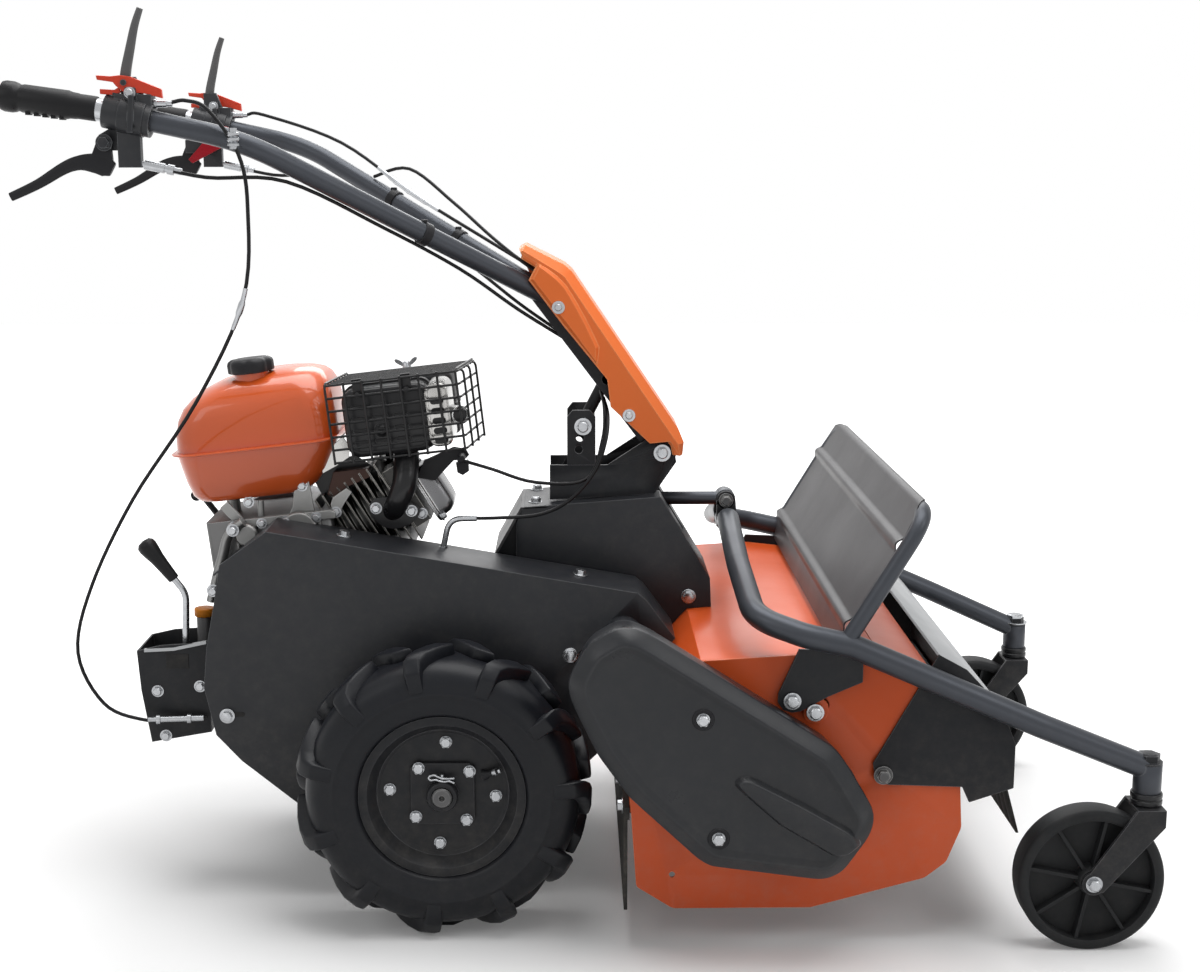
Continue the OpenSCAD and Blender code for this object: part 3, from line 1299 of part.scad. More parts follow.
module latch() {
    color("#d8392b") translate([blade_x - mount_x, 0, blade_rise]) difference() {
        wall(latch_pts, -latch_t / 2, latch_t / 2 - blade_t);
        rod_y(0, -latch_t, 0, latch_pin_r + run_fit, latch_t);
    }
}
module hand_lever_right() {
    at_mount(-1) hand_lever();
}
module hand_lever_left() {
    at_mount(1) hand_lever();
}
module blade_lever_right() {
    at_mount(-1) blade_lever();
}
module blade_lever_left() {
    at_mount(1) blade_lever();
}
module latch_right() {
    at_mount(-1) latch();
}
module latch_left() {
    at_mount(1) latch();
}
module safety_lever() {
    color("#a3121a") at_mount(1) translate([safety_x - mount_x, mount_r + washer_t, -safety_drop])
        difference() {
        union() {
            wall(safety_pts, 0, safety_t);
            rod_y(0, 0, 0, 3 * safety_pin_r, safety_t);
        }
        rod_y(0, -eps, 0, safety_pin_r + run_fit, safety_t + 2 * eps);
    }
}
module control_cables() {
    color("#121212") for (c = [cable_a, cable_b, cable_c, cable_d, cable_e, cable_f, cable_g]) cord(c,
        cable_r);
    color("#b9bcbf") {
        link(cable_a[6], cable_a[6] + unit(cable_a[7] - cable_a[6]) * fitting_len, fitting_r);
        for (c = [cable_c, cable_d]) link(c[0], c[0] + unit(c[1] - c[0]) * fitting_len, fitting_r);
        link(cable_b[3], cable_b[3] + unit(cable_b[4] - cable_b[3]) * fitting_len, fitting_r);
    }
}

translate(shift) {
    side_plate_right();
    side_plate_left();
    chassis_bed();
    transaxle();
    handle_tower();
    handle_bracket();
    crankcase();
    cylinder_part();  // cylinder
    valve_cover();
    fan_shroud();
    fuel_tank();
    muffler();
    muffler_guard();
    air_filter();
    shift_console();
    belt_cover();
    drive_belt();
    jackshaft_tube();
    deck_shell();
    deck_side_right();
    deck_side_left();
    rotor_bearings();
    rear_flap();
    chassis_bolts();
    fuel_cap();
    oil_cap();
    engine_switch();
    starter_grip();
    shift_lever();
    drive_pulley();
    tyre_right();
    rim_right();
    hub_right();
    tyre_left();
    rim_left();
    hub_left();
    rotor();
    flails_a();
    flails_b();
    front_guard();
    guard_fringe();
    front_frame();
    front_panel();
    tie_rod();
    caster_fork_right();
    caster_wheel_right();
    caster_fork_left();
    caster_wheel_left();
    handlebar();
    column_cover();
    handle_grips();
    control_mounts();
    hand_lever_right();
    hand_lever_left();
    blade_lever_right();
    blade_lever_left();
    latch_right();
    latch_left();
    safety_lever();
    control_cables();
}
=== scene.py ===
import json
import math

import bmesh
import bpy
from mathutils import Matrix, Vector

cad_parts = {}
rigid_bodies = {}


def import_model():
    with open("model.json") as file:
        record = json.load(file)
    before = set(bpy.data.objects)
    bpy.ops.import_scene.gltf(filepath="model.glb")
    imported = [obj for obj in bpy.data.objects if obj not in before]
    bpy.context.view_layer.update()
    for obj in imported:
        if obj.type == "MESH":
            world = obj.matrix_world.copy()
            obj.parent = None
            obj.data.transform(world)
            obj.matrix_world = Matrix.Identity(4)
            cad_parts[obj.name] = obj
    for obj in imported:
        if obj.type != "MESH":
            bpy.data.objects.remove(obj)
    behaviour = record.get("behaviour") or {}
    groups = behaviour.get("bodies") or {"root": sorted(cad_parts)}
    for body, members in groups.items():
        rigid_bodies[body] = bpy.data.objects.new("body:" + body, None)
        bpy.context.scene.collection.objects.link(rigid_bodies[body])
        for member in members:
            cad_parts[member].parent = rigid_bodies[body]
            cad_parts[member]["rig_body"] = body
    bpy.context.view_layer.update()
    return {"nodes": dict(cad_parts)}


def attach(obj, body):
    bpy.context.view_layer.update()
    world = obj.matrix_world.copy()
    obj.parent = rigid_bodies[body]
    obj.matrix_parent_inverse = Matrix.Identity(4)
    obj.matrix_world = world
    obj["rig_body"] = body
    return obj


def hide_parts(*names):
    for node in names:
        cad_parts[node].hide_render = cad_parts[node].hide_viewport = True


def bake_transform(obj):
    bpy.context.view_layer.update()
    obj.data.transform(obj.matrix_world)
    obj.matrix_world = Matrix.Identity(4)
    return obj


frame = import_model()
nodes = frame["nodes"]

# drawing millimetres (drive axle, centre plane, ground) to the shared frame
mm = 0.001
offset = Vector((-0.2092347, 0.0255, 0.0))
sides = ((-1, "right"), (1, "left"))


def at(x, y, z):
    return Vector((x, y, z)) * mm + offset


def addObject(name, data):
    obj = bpy.data.objects.new(name, data)
    bpy.context.scene.collection.objects.link(obj)
    return obj


# node trees: an input takes a value or another node's output
def fill(tree, node, inputs):
    for key, value in inputs.items():
        if isinstance(value, bpy.types.NodeSocket):
            tree.links.new(value, node.inputs[key])
        else:
            node.inputs[key].default_value = value


def addNode(tree, kind, inputs=None, **settings):
    node = tree.nodes.new(kind)
    for key, value in settings.items():
        setattr(node, key, value)
    fill(tree, node, inputs or {})
    return node


def mathNode(tree, operation, a, b):
    return addNode(tree, "ShaderNodeMath", {0: a, 1: b}, operation=operation).outputs[0]


# stage: camera at the photograph's place, soft boxes, pale floor
stage = {
    "lens": 51.643, "sensor": 36, "clip": 60, "eye": (178.9, -2564.1, 1056.6), "pitch": 79.42, "yaw": -0.95,
    "fill": 0.21, "floorHalf": 9.0, "floorGrey": (0.9, 0.9, 0.9, 1), "white": (1, 1, 1, 1),
    "whiteFrom": 0.5, "whiteTo": 2.6, "nearGlow": 0.1,
    # place and aim, width and height, watts
    "boxes": {
        "keyBox": ((-2.2, -2.0, 2.2), (0, 0, 0.5), (1.4, 1.2), 9),
        "topBox": ((0.1, 0.1, 3.3), (0, 0, 0.4), (3.4, 2.2), 108),
        "sideBox": ((2.6, -1.8, 2.5), (0, 0, 0.5), (1.6, 1.4), 18),
        "backBox": ((0.2, 3.4, 2.6), (0, 0, 0.6), (2.6, 1.4), 42),
    },
}


def makeCamera():
    data = bpy.data.cameras.new("viewCamera")
    data.lens = stage["lens"]
    data.sensor_width = stage["sensor"]
    data.sensor_fit = "HORIZONTAL"
    data.clip_end = stage["clip"]
    camera = addObject("viewCamera", data)
    camera.location = at(*stage["eye"])
    camera.rotation_euler = (math.radians(stage["pitch"]), 0, math.radians(stage["yaw"]))
    bpy.context.scene.camera = camera


def softBox(name, place, aim, size, watts):
    data = bpy.data.lights.new(name, "AREA")
    data.shape = "RECTANGLE"
    data.size = size[0]
    data.size_y = size[1]
    data.energy = watts
    lamp = addObject(name, data)
    lamp.location = place
    lamp.rotation_euler = (Vector(aim) - Vector(place)).to_track_quat("-Z", "Y").to_euler()


def seenDirectly(tree):
    # 1 for rays from the camera, from mirrors and through glass
    path = addNode(tree, "ShaderNodeLightPath")
    mirror = mathNode(tree, "MAXIMUM", path.outputs["Is Camera Ray"], path.outputs["Is Glossy Ray"])
    return mathNode(tree, "MAXIMUM", mirror, path.outputs["Is Transmission Ray"])


def makeWorld():
    # white where the camera looks, soft fill elsewhere
    world = bpy.data.worlds.new("studio")
    bpy.context.scene.world = world
    world.use_nodes = True
    tree = world.node_tree
    level = addNode(tree, "ShaderNodeMapRange",
                    {"Value": seenDirectly(tree), "To Min": stage["fill"], "To Max": 1.0})
    fill(tree, tree.nodes["Background"], {"Color": stage["white"], "Strength": level.outputs["Result"]})


def makeFloor():
    half = stage["floorHalf"]
    mesh = bpy.data.meshes.new("floor")
    mesh.from_pydata([(-half, -half, 0), (half, -half, 0), (half, half, 0), (-half, half, 0)], [],
                     [(0, 1, 2, 3)])
    mat = bpy.data.materials.new("paleFloor")
    mat.use_nodes = True
    tree = mat.node_tree
    coord = addNode(tree, "ShaderNodeTexCoord")
    away = addNode(tree, "ShaderNodeVectorMath", {0: coord.outputs["Object"]}, operation="LENGTH")
    # the floor turns white away from the machine
    fade = addNode(tree, "ShaderNodeMapRange",
                   {"Value": away.outputs["Value"], "From Min": stage["whiteFrom"],
                    "From Max": stage["whiteTo"],
                    "To Min": stage["nearGlow"]}, interpolation_type="SMOOTHSTEP")
    glow = mathNode(tree, "MULTIPLY", fade.outputs["Result"], seenDirectly(tree))
    fill(tree, tree.nodes["Principled BSDF"],
         {"Base Color": stage["floorGrey"], "Roughness": 0.7, "Specular IOR Level": 0.1,
          "Emission Color": stage["white"], "Emission Strength": glow})
    mesh.materials.append(mat)
    addObject("floor", mesh)


bpy.context.scene.view_settings.view_transform = "Standard"
makeCamera()
makeWorld()
for boxName, box in stage["boxes"].items():
    softBox(boxName, *box)
makeFloor()
print("stage: camera, lamps, floor")


# materials: shared effects as node groups, the shader itself in each material
def makeGroup(name, inputs, outputs):
    tree = bpy.data.node_groups.new(name, "ShaderNodeTree")
    for label, value in inputs.items():
        kind = "NodeSocketColor" if isinstance(value, tuple) else "NodeSocketFloat"
        tree.interface.new_socket(label, in_out="INPUT", socket_type=kind).default_value = value
    for label, kind in outputs.items():
        tree.interface.new_socket(label, in_out="OUTPUT", socket_type="NodeSocket" + kind)
    return tree, tree.nodes.new("NodeGroupInput").outputs, tree.nodes.new("NodeGroupOutput")


def mixColour(tree, factor, a, b):
    return addNode(tree, "ShaderNodeMix", {0: factor, 6: a, 7: b}, data_type="RGBA").outputs[2]


def noiseNode(tree, scale, detail, rough=0.55):
    coord = addNode(tree, "ShaderNodeTexCoord")
    noise = addNode(tree, "ShaderNodeTexNoise",
                    {"Vector": coord.outputs["Object"], "Scale": scale, "Detail": detail, "Roughness": rough})
    return noise.outputs["Fac"]


def makeGrain():
    # fine skin of powder coat, casting or moulded plastic
    tree, start, end = makeGroup("surfaceGrain", {"Fine": 900.0, "Coarse": 12.0},
                                 {"Height": "Float", "Cloud": "Float"})
    fill(tree, end, {"Height": noiseNode(tree, start["Fine"], 2.0),
                     "Cloud": noiseNode(tree, start["Coarse"], 4.0)})
    return tree


def makeEdges():
    # lighter edges from the rounded normal, broken up by noise: partly worn paint, partly a painted highlight
    # on the edges
    tree, start, end = makeGroup("edgeWear", {"Radius": 0.002, "Amount": 0.5}, {"Mask": "Float"})
    bevel = addNode(tree, "ShaderNodeBevel", {"Radius": start["Radius"]}, samples=4)
    flat = addNode(tree, "ShaderNodeNewGeometry")
    dot = addNode(tree, "ShaderNodeVectorMath", {0: bevel.outputs[0], 1: flat.outputs["Normal"]},
                  operation="DOT_PRODUCT")
    turned = mathNode(tree, "SUBTRACT", 1.0, dot.outputs["Value"])
    broken = mathNode(tree, "MULTIPLY", turned, noiseNode(tree, 60.0, 4.0))
    gain = mathNode(tree, "MULTIPLY", broken, 14.0)
    edgeMask = mathNode(tree, "MULTIPLY", gain, start["Amount"])
    fill(tree, end, {"Mask": mathNode(tree, "MINIMUM", edgeMask, 1.0)})
    return tree


def makeDust():
    # pale specks that gather towards the ground
    tree, start, end = makeGroup(
        "dustFilm", {"Colour": (0, 0, 0, 1), "Dust": (0.34, 0.31, 0.27, 1), "Amount": 0.15, "Reach": 0.3},
        {"Colour": "Color", "Mask": "Float"})
    coord = addNode(tree, "ShaderNodeTexCoord")
    parts = addNode(tree, "ShaderNodeSeparateXYZ", {0: coord.outputs["Object"]})
    low = mathNode(tree, "DIVIDE", parts.outputs["Z"], start["Reach"])
    low = mathNode(tree, "SUBTRACT", 1.0, mathNode(tree, "MINIMUM", low, 1.0))
    speck = mathNode(tree, "POWER", noiseNode(tree, 45.0, 6.0, 0.7), 3.0)
    spread = mathNode(tree, "ADD", mathNode(tree, "MULTIPLY", low, 1.2), 0.35)
    mask = mathNode(tree, "MULTIPLY", mathNode(tree, "MULTIPLY", speck, 3.0), spread)
    mask = mathNode(tree, "MINIMUM", mathNode(tree, "MULTIPLY", mask, start["Amount"]), 1.0)
    fill(tree, end, {"Colour": mixColour(tree, mask, start["Colour"], start["Dust"]), "Mask": mask})
    return tree


groups = {"grain": makeGrain(), "edges": makeEdges(), "dust": makeDust()}


def useGroup(tree, key, inputs):
    return addNode(tree, "ShaderNodeGroup", inputs, node_tree=groups[key]).outputs


def makeFinish(name, look):
    mat = bpy.data.materials.new(name)
    mat.use_nodes = True
    tree = mat.node_tree
    grain = useGroup(tree, "grain", {"Fine": look["fine"], "Coarse": look.get("coarse", 9.0)})
    colour = mixColour(tree, grain["Cloud"], look["base"] + (1.0,), look["shade"] + (1.0,))
    span = addNode(tree, "ShaderNodeMapRange",
                   {"Value": grain["Cloud"], "From Min": 0.3, "From Max": 0.7,
                    "To Min": look["rough"][0], "To Max": look["rough"][1]})
    roughness = span.outputs["Result"]
    # the edge colour: partly worn edges, partly a painted highlight along the rounded edges
    if "wear" in look:
        edges = useGroup(tree, "edges", {"Radius": look.get("edge", 0.002), "Amount": look["wear"]})
        colour = mixColour(tree, edges["Mask"], colour, look["bare"] + (1.0,))
    if "dust" in look:
        dust = useGroup(tree, "dust", {"Colour": colour, "Amount": look["dust"]})
        colour = dust["Colour"]
        roughness = mathNode(tree, "MINIMUM", mathNode(tree, "ADD", roughness, dust["Mask"]), 1.0)
    bump = addNode(tree, "ShaderNodeBump",
                   {"Strength": look["depth"], "Distance": look.get("relief", 0.0006),
                    "Height": grain["Height"]})
    fill(tree, tree.nodes["Principled BSDF"],
         {"Base Color": colour, "Roughness": roughness, "Metallic": look.get("metal", 0.0),
          "Coat Weight": look.get("coat", 0.0), "Coat Roughness": look.get("coatRough", 0.15),
          "Specular IOR Level": look.get("specular", 0.18), "Normal": bump.outputs["Normal"]})
    return mat


def finishOf(slot, base, shade, rough, fine, depth, **more):
    # usual slot, two colours, roughness range, grain size and depth; metal, coat, edge wear with painted edge
    # highlight, and dust if any
    return dict(more, slot=slot, base=base, shade=shade, rough=rough, fine=fine, depth=depth)


finishes = {
    "orangePaint": finishOf("orange_paint", (0.66, 0.088, 0.011), (0.6, 0.077, 0.009), (0.34, 0.44), 260.0,
        0.015, coat=0.1, specular=0.3, wear=0.25, bare=(0.92, 0.42, 0.2), dust=0.1),
    "tankPaint": finishOf("orange_paint", (0.69, 0.105, 0.016), (0.64, 0.094, 0.014), (0.3, 0.38), 260.0,
        0.01, coat=0.7, coatRough=0.07, specular=0.3, dust=0.03),
    "coverPaint": finishOf("orange_paint", (0.9, 0.195, 0.042), (0.85, 0.18, 0.038), (0.34, 0.42), 260.0,
        0.01, coat=0.12, coatRough=0.16, specular=0.18, wear=0.5, edge=0.003, bare=(1.0, 0.5, 0.22),
        dust=0.03),
    "darkPaint": finishOf("dark_paint", (0.015, 0.0165, 0.0205), (0.012, 0.0135, 0.017), (0.34, 0.42),
        1500.0, 0.22, specular=0.3, wear=0.55, bare=(0.2, 0.21, 0.22), dust=0.12),
    "tubePaint": finishOf("dark_paint", (0.062, 0.067, 0.078), (0.05, 0.055, 0.065), (0.3, 0.4), 1300.0, 0.1,
        metal=0.45, wear=0.3, bare=(0.3, 0.31, 0.32), dust=0.06),
    "blackSteel": finishOf("black_steel", (0.016, 0.017, 0.02), (0.012, 0.013, 0.0155), (0.36, 0.48), 1200.0,
        0.15, wear=0.5, bare=(0.16, 0.16, 0.17), dust=0.1),
    "guardPaint": finishOf("dark_paint", (0.015, 0.016, 0.019), (0.012, 0.013, 0.016), (0.46, 0.56), 1500.0,
        0.2, wear=0.5, bare=(0.2, 0.2, 0.2), dust=0.14),
    "plateGrey": finishOf("black_steel", (0.42, 0.43, 0.44), (0.36, 0.37, 0.38), (0.34, 0.46), 700.0, 0.1,
        metal=0.5, dust=0.1),
    "castAlloy": finishOf("cast_alloy", (0.3, 0.3, 0.295), (0.18, 0.18, 0.178), (0.32, 0.5), 800.0, 0.3,
        metal=0.85, relief=0.0008, wear=0.5, bare=(0.6, 0.6, 0.58), dust=0.1),
    "castDark": finishOf("cast_case", (0.11, 0.11, 0.112), (0.07, 0.07, 0.072), (0.38, 0.55), 700.0, 0.35,
        metal=0.7, relief=0.0008, wear=0.6, bare=(0.42, 0.42, 0.41), dust=0.12),
    "finMetal": finishOf("cast_case", (0.075, 0.073, 0.07), (0.04, 0.04, 0.039), (0.32, 0.5), 600.0, 0.25,
        metal=0.75, wear=0.9, bare=(0.6, 0.58, 0.54)),
    "zinc": finishOf("zinc", (0.46, 0.47, 0.485), (0.32, 0.33, 0.345), (0.2, 0.34), 500.0, 0.06, metal=0.95,
        coarse=60.0),
    "chrome": finishOf("cast_alloy", (0.5, 0.49, 0.475), (0.36, 0.355, 0.345), (0.14, 0.24), 300.0, 0.05,
        metal=1.0),
    "mufflerBlack": finishOf("black_steel", (0.016, 0.016, 0.018), (0.01, 0.01, 0.011), (0.26, 0.38), 500.0,
        0.12, coat=0.2, wear=0.35, bare=(0.1, 0.1, 0.1)),
    "wireBlack": finishOf("black_steel", (0.012, 0.012, 0.013), (0.008, 0.008, 0.009), (0.28, 0.4), 500.0,
        0.05, coat=0.2),
    "tyreRubber": finishOf("tyre", (0.008, 0.009, 0.012), (0.006, 0.007, 0.01), (0.3, 0.42), 1000.0, 0.2,
        specular=0.2, wear=0.3, bare=(0.06, 0.061, 0.066), dust=0.03, edge=0.003),
    "flapRubber": finishOf("rubber", (0.018, 0.018, 0.019), (0.012, 0.012, 0.013), (0.55, 0.7), 900.0, 0.25,
        dust=0.25),
    "gripRubber": finishOf("rubber", (0.012, 0.012, 0.013), (0.008, 0.008, 0.009), (0.36, 0.5), 1100.0, 0.2),
    # belt cover: its lighter edge colour is a painted highlight, the bright crest along the chamfers
    "coverPlastic": finishOf("black_plastic", (0.014, 0.0155, 0.019), (0.011, 0.0125, 0.0155), (0.26, 0.34),
        1800.0, 0.2, specular=0.3, wear=0.7, edge=0.003, bare=(0.26, 0.265, 0.28), dust=0.06),
    "blackPlastic": finishOf("black_plastic", (0.018, 0.018, 0.02), (0.012, 0.012, 0.014), (0.38, 0.5),
        1600.0, 0.22, wear=0.3, bare=(0.07, 0.07, 0.075)),
    "wheelPlastic": finishOf("black_plastic", (0.016, 0.017, 0.019), (0.011, 0.012, 0.013), (0.46, 0.6),
        1400.0, 0.25, wear=0.35, bare=(0.06, 0.06, 0.065), dust=0.03),
    "greyPlastic": finishOf("grey_plastic", (0.27, 0.29, 0.31), (0.23, 0.245, 0.26), (0.4, 0.5), 1500.0,
        0.15),
    "redPlastic": finishOf("red_plastic", (0.78, 0.07, 0.03), (0.68, 0.052, 0.022), (0.28, 0.38), 900.0,
        0.06, coat=0.25),
    "darkRed": finishOf("red_plastic", (0.36, 0.008, 0.018), (0.3, 0.006, 0.014), (0.3, 0.42), 900.0, 0.06),
    "amberPlastic": finishOf("amber_plastic", (0.78, 0.27, 0.02), (0.68, 0.22, 0.016), (0.35, 0.45), 900.0,
        0.08),
    "cableSkin": finishOf("rubber", (0.01, 0.01, 0.011), (0.007, 0.007, 0.008), (0.3, 0.4), 1500.0, 0.06),
    "polishedDark": finishOf("cast_alloy", (0.22, 0.22, 0.225), (0.13, 0.13, 0.135), (0.2, 0.32), 500.0,
        0.06, metal=0.92, wear=0.9, edge=0.004, bare=(0.86, 0.86, 0.85)),
    "heatBrown": finishOf("black_steel", (0.055, 0.03, 0.024), (0.03, 0.018, 0.016), (0.3, 0.44), 500.0, 0.1,
        metal=0.6),
    "panelPaint": finishOf("dark_paint", (0.042, 0.041, 0.044), (0.034, 0.033, 0.036), (0.34, 0.42), 1400.0,
        0.12, specular=0.3, dust=0.05),
    "caseMetal": finishOf("cast_case", (0.2, 0.2, 0.2), (0.12, 0.12, 0.122), (0.36, 0.52), 700.0, 0.35,
        metal=0.7, relief=0.0008, wear=0.6, bare=(0.5, 0.5, 0.49), dust=0.12),
}
skin = {name: makeFinish(name, values) for name, values in finishes.items()}
print("finishes:", len(skin))


# mesh helpers, all in drawing millimetres until bare() or shape() scales the piece
def toObject(name, bm):
    mesh = bpy.data.meshes.new(name)
    bm.to_mesh(mesh)
    bm.free()
    return addObject(name, mesh)


def bare(name, bm, move=(0, 0, 0)):
    # an unpainted mesh in metres, about the origin unless it is moved
    bmesh.ops.recalc_face_normals(bm, faces=bm.faces)
    bmesh.ops.scale(bm, vec=(mm, mm, mm), verts=bm.verts)
    bmesh.ops.translate(bm, vec=move, verts=bm.verts)
    return toObject(name, bm)


def shape(name, bm, finish, body="chassis", bevel=0.0, segments=2, crease=30.0, stands=()):
    bmesh.ops.remove_doubles(bm, verts=bm.verts, dist=0.002)
    obj = bare(name, bm, offset)
    obj.data.materials.append(skin[finish])
    return settle(obj, body, bevel, segments, crease, stands)


def settle(obj, body, bevel=0.0, segments=2, crease=30.0, stands=()):
    obj.data.shade_smooth()
    if bevel > 0:
        rounding = obj.modifiers.new("rounding", "BEVEL")
        rounding.width = bevel * mm
        rounding.segments = segments
        rounding.limit_method = "ANGLE"
        rounding.angle_limit = math.radians(crease)
        rounding.harden_normals = True
        bake(obj)
    else:
        obj.data.set_sharp_from_angle(angle=math.radians(crease))
    if body:
        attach(obj, body)
    if stands:
        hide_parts(*stands)
    return obj


def bake(obj):
    bpy.context.view_layer.update()
    graph = bpy.context.evaluated_depsgraph_get()
    mesh = bpy.data.meshes.new_from_object(obj.evaluated_get(graph), depsgraph=graph)
    mesh.name = obj.name
    obj.modifiers.clear()
    obj.data = mesh


cornerRadius = {"front_guard": 12, "deck_side_right": 26, "deck_side_left": 26, "handle_bracket": 8,
                "caster_fork_right": 8, "caster_fork_left": 8}
plateCorner = {"thickest": 0.009, "turn": 0.3, "faceTilt": 0.05, "segments": 5}


def roundCorners(bm, radius):
    # corners of the outlines of upright plates
    corners = []
    for edge in bm.edges:
        run = edge.verts[1].co - edge.verts[0].co
        upright = len(edge.link_faces) == 2 and all(
            abs(face.normal.y) < plateCorner["faceTilt"] for face in edge.link_faces)
        across = run.length < plateCorner["thickest"] and abs(run.y) > 0.99 * run.length
        if upright and across and edge.calc_face_angle(0) > plateCorner["turn"]:
            corners.append(edge)
    bmesh.ops.bevel(bm, geom=corners, offset=radius * mm, offset_type="OFFSET",
                    segments=plateCorner["segments"],
                    profile=0.5, affect="EDGES", clamp_overlap=True)


def dress(node, finish, bevel, slot=None, segments=2):
    # a copy of the solid with rounded edges and its own finish
    bm = bmesh.new()
    bm.from_mesh(nodes[node].data)
    bmesh.ops.remove_doubles(bm, verts=bm.verts, dist=0.00001)
    bmesh.ops.dissolve_limit(bm, angle_limit=math.radians(0.6), verts=bm.verts, edges=bm.edges)
    if node in cornerRadius:
        roundCorners(bm, cornerRadius[node])
    obj = toObject(node + "Skin", bm)
    obj.data.materials.append(skin[finish])
    slot = slot or finishes[finish]["slot"]
    return settle(obj, nodes[node]["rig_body"], bevel, segments, stands=(node,))


def trimTop(obj, a, b):
    # the part of a plate above a line seen from the side is cut off and closed
    a, b = at(*a), at(*b)
    bm = bmesh.new()
    bm.from_mesh(obj.data)
    upward = Vector((a.z - b.z, 0, b.x - a.x))
    geometry = bm.verts[:] + bm.edges[:] + bm.faces[:]
    cut = bmesh.ops.bisect_plane(bm, geom=geometry, plane_co=a, plane_no=upward, clear_outer=True)
    rim = [e for e in cut["geom_cut"] if isinstance(e, bmesh.types.BMEdge)]
    bmesh.ops.edgeloop_fill(bm, edges=rim)
    bm.to_mesh(obj.data)
    bm.free()


def joinRings(bm, rings, closed=False):
    pairs = list(zip(rings, rings[1:]))
    if closed:
        pairs.append((rings[-1], rings[0]))
    count = len(rings[0])
    for low, high in pairs:
        for k in range(count):
            bm.faces.new((low[k], low[(k + 1) % count], high[(k + 1) % count], high[k]))
    return [v for ring in rings for v in ring]


def skinRings(bm, rings):
    # faces from ring to ring and a cap at each end
    verts = joinRings(bm, rings)
    bm.faces.new(list(reversed(rings[0])))
    bm.faces.new(rings[-1])
    return verts


def prism(bm, outline, y0, y1):
    near = [bm.verts.new((x, y0, z)) for x, z in outline]
    far = [bm.verts.new((x, y1, z)) for x, z in outline]
    bm.faces.new(near)
    bm.faces.new(list(reversed(far)))
    count = len(outline)
    for i in range(count):
        bm.faces.new((near[i], far[i], far[(i + 1) % count], near[(i + 1) % count]))
    return near + far


def block(bm, x0, x1, y0, y1, z0, z1):
    return prism(bm, [(x0, z0), (x1, z0), (x1, z1), (x0, z1)], y0, y1)


def lathe(bm, profile, place, axis=(0, 1, 0), steps=64, closed=True):
    # profile: radius and distance along the axis
    turn = Vector((0, 0, 1)).rotation_difference(Vector(axis)).to_matrix().to_4x4()
    matrix = Matrix.Translation(Vector(place)) @ turn
    spokes = [2 * math.pi * k / steps for k in range(steps)]
    rings = []
    for radius, along in profile:
        points = [matrix @ Vector((radius * math.cos(a), radius * math.sin(a), along)) for a in spokes]
        rings.append([bm.verts.new(point) for point in points])
    if not closed:
        bm.faces.new(rings[0])
        bm.faces.new(list(reversed(rings[-1])))
    return joinRings(bm, rings, closed)


def bothEnds(profile):
    return profile + [(r, -along) for r, along in reversed(profile)]


def rod(bm, a, b, radius, steps=24, chamfer=0.0):
    a, b = Vector(a), Vector(b)
    length = (b - a).length
    if chamfer > 0:
        profile = [(radius - chamfer, 0), (radius, chamfer), (radius, length - chamfer),
                   (radius - chamfer, length)]
    else:
        profile = [(radius, 0), (radius, length)]
    return lathe(bm, profile, a, (b - a).normalized(), steps, closed=False)


def fillet(points, radius, steps=8):
    points = [Vector(p) for p in points]
    path = [points[0]]
    for a, b, c in zip(points, points[1:], points[2:]):
        u, v = (a - b).normalized(), (c - b).normalized()
        angle = u.angle(v)
        cut = min(radius / math.tan(angle / 2), 0.48 * (a - b).length, 0.48 * (c - b).length)
        for k in range(steps + 1):
            t = k / steps
            path.append((b + u * cut) * (1 - t) ** 2 + b * (2 * t * (1 - t)) + (b + v * cut) * t ** 2)
    path.append(points[-1])
    return path


def spline(points, steps):
    points = [Vector(p) for p in points]
    last = len(points) - 1
    path = []
    for i in range(last):
        a, b, c, d = points[max(i - 1, 0)], points[i], points[i + 1], points[min(i + 2, last)]
        for k in range(steps):
            t = k / steps
            bend = (2 * a - 5 * b + 4 * c - d) * t * t + (3 * b - a - 3 * c + d) * t ** 3
            path.append((2 * b + (c - a) * t + bend) / 2)
    path.append(points[-1])
    return path


def sweep(bm, path, radius, count=20, flatten=1.0):
    # radius: one for the whole path or a list with one for each point
    path = [Vector(p) for p in path]
    last = len(path) - 1
    tangents = [(path[min(i + 1, last)] - path[max(i - 1, 0)]).normalized() for i in range(last + 1)]
    side = tangents[0].cross(Vector((0.3, 0.2, 1))).normalized()
    spokes = [2 * math.pi * k / count for k in range(count)]
    rings = []
    for i, point in enumerate(path):
        if i:
            side = tangents[i - 1].rotation_difference(tangents[i]) @ side
        up = tangents[i].cross(side).normalized()
        size = radius[i] if isinstance(radius, list) else radius
        points = [point + side * size * math.cos(a) + up * size * flatten * math.sin(a) for a in spokes]
        rings.append([bm.verts.new(p) for p in points])
    skinRings(bm, rings)


# geometry node trees for what repeats
def growTree(name, inputs):
    tree = bpy.data.node_groups.new(name, "GeometryNodeTree")
    sockets = {"Geometry": "Geometry", **inputs, "Material": "Material"}
    for label, kind in sockets.items():
        tree.interface.new_socket(label, in_out="INPUT", socket_type="NodeSocket" + kind)
    tree.interface.new_socket("Geometry", in_out="OUTPUT", socket_type="NodeSocketGeometry")
    return tree, tree.nodes.new("NodeGroupInput").outputs


def endTree(tree, start, geometry):
    real = addNode(tree, "GeometryNodeRealizeInstances", {0: geometry})
    paint = addNode(tree, "GeometryNodeSetMaterial",
                    {"Geometry": real.outputs[0], "Material": start["Material"]})
    addNode(tree, "NodeGroupOutput", {0: paint.outputs[0]})
    return tree


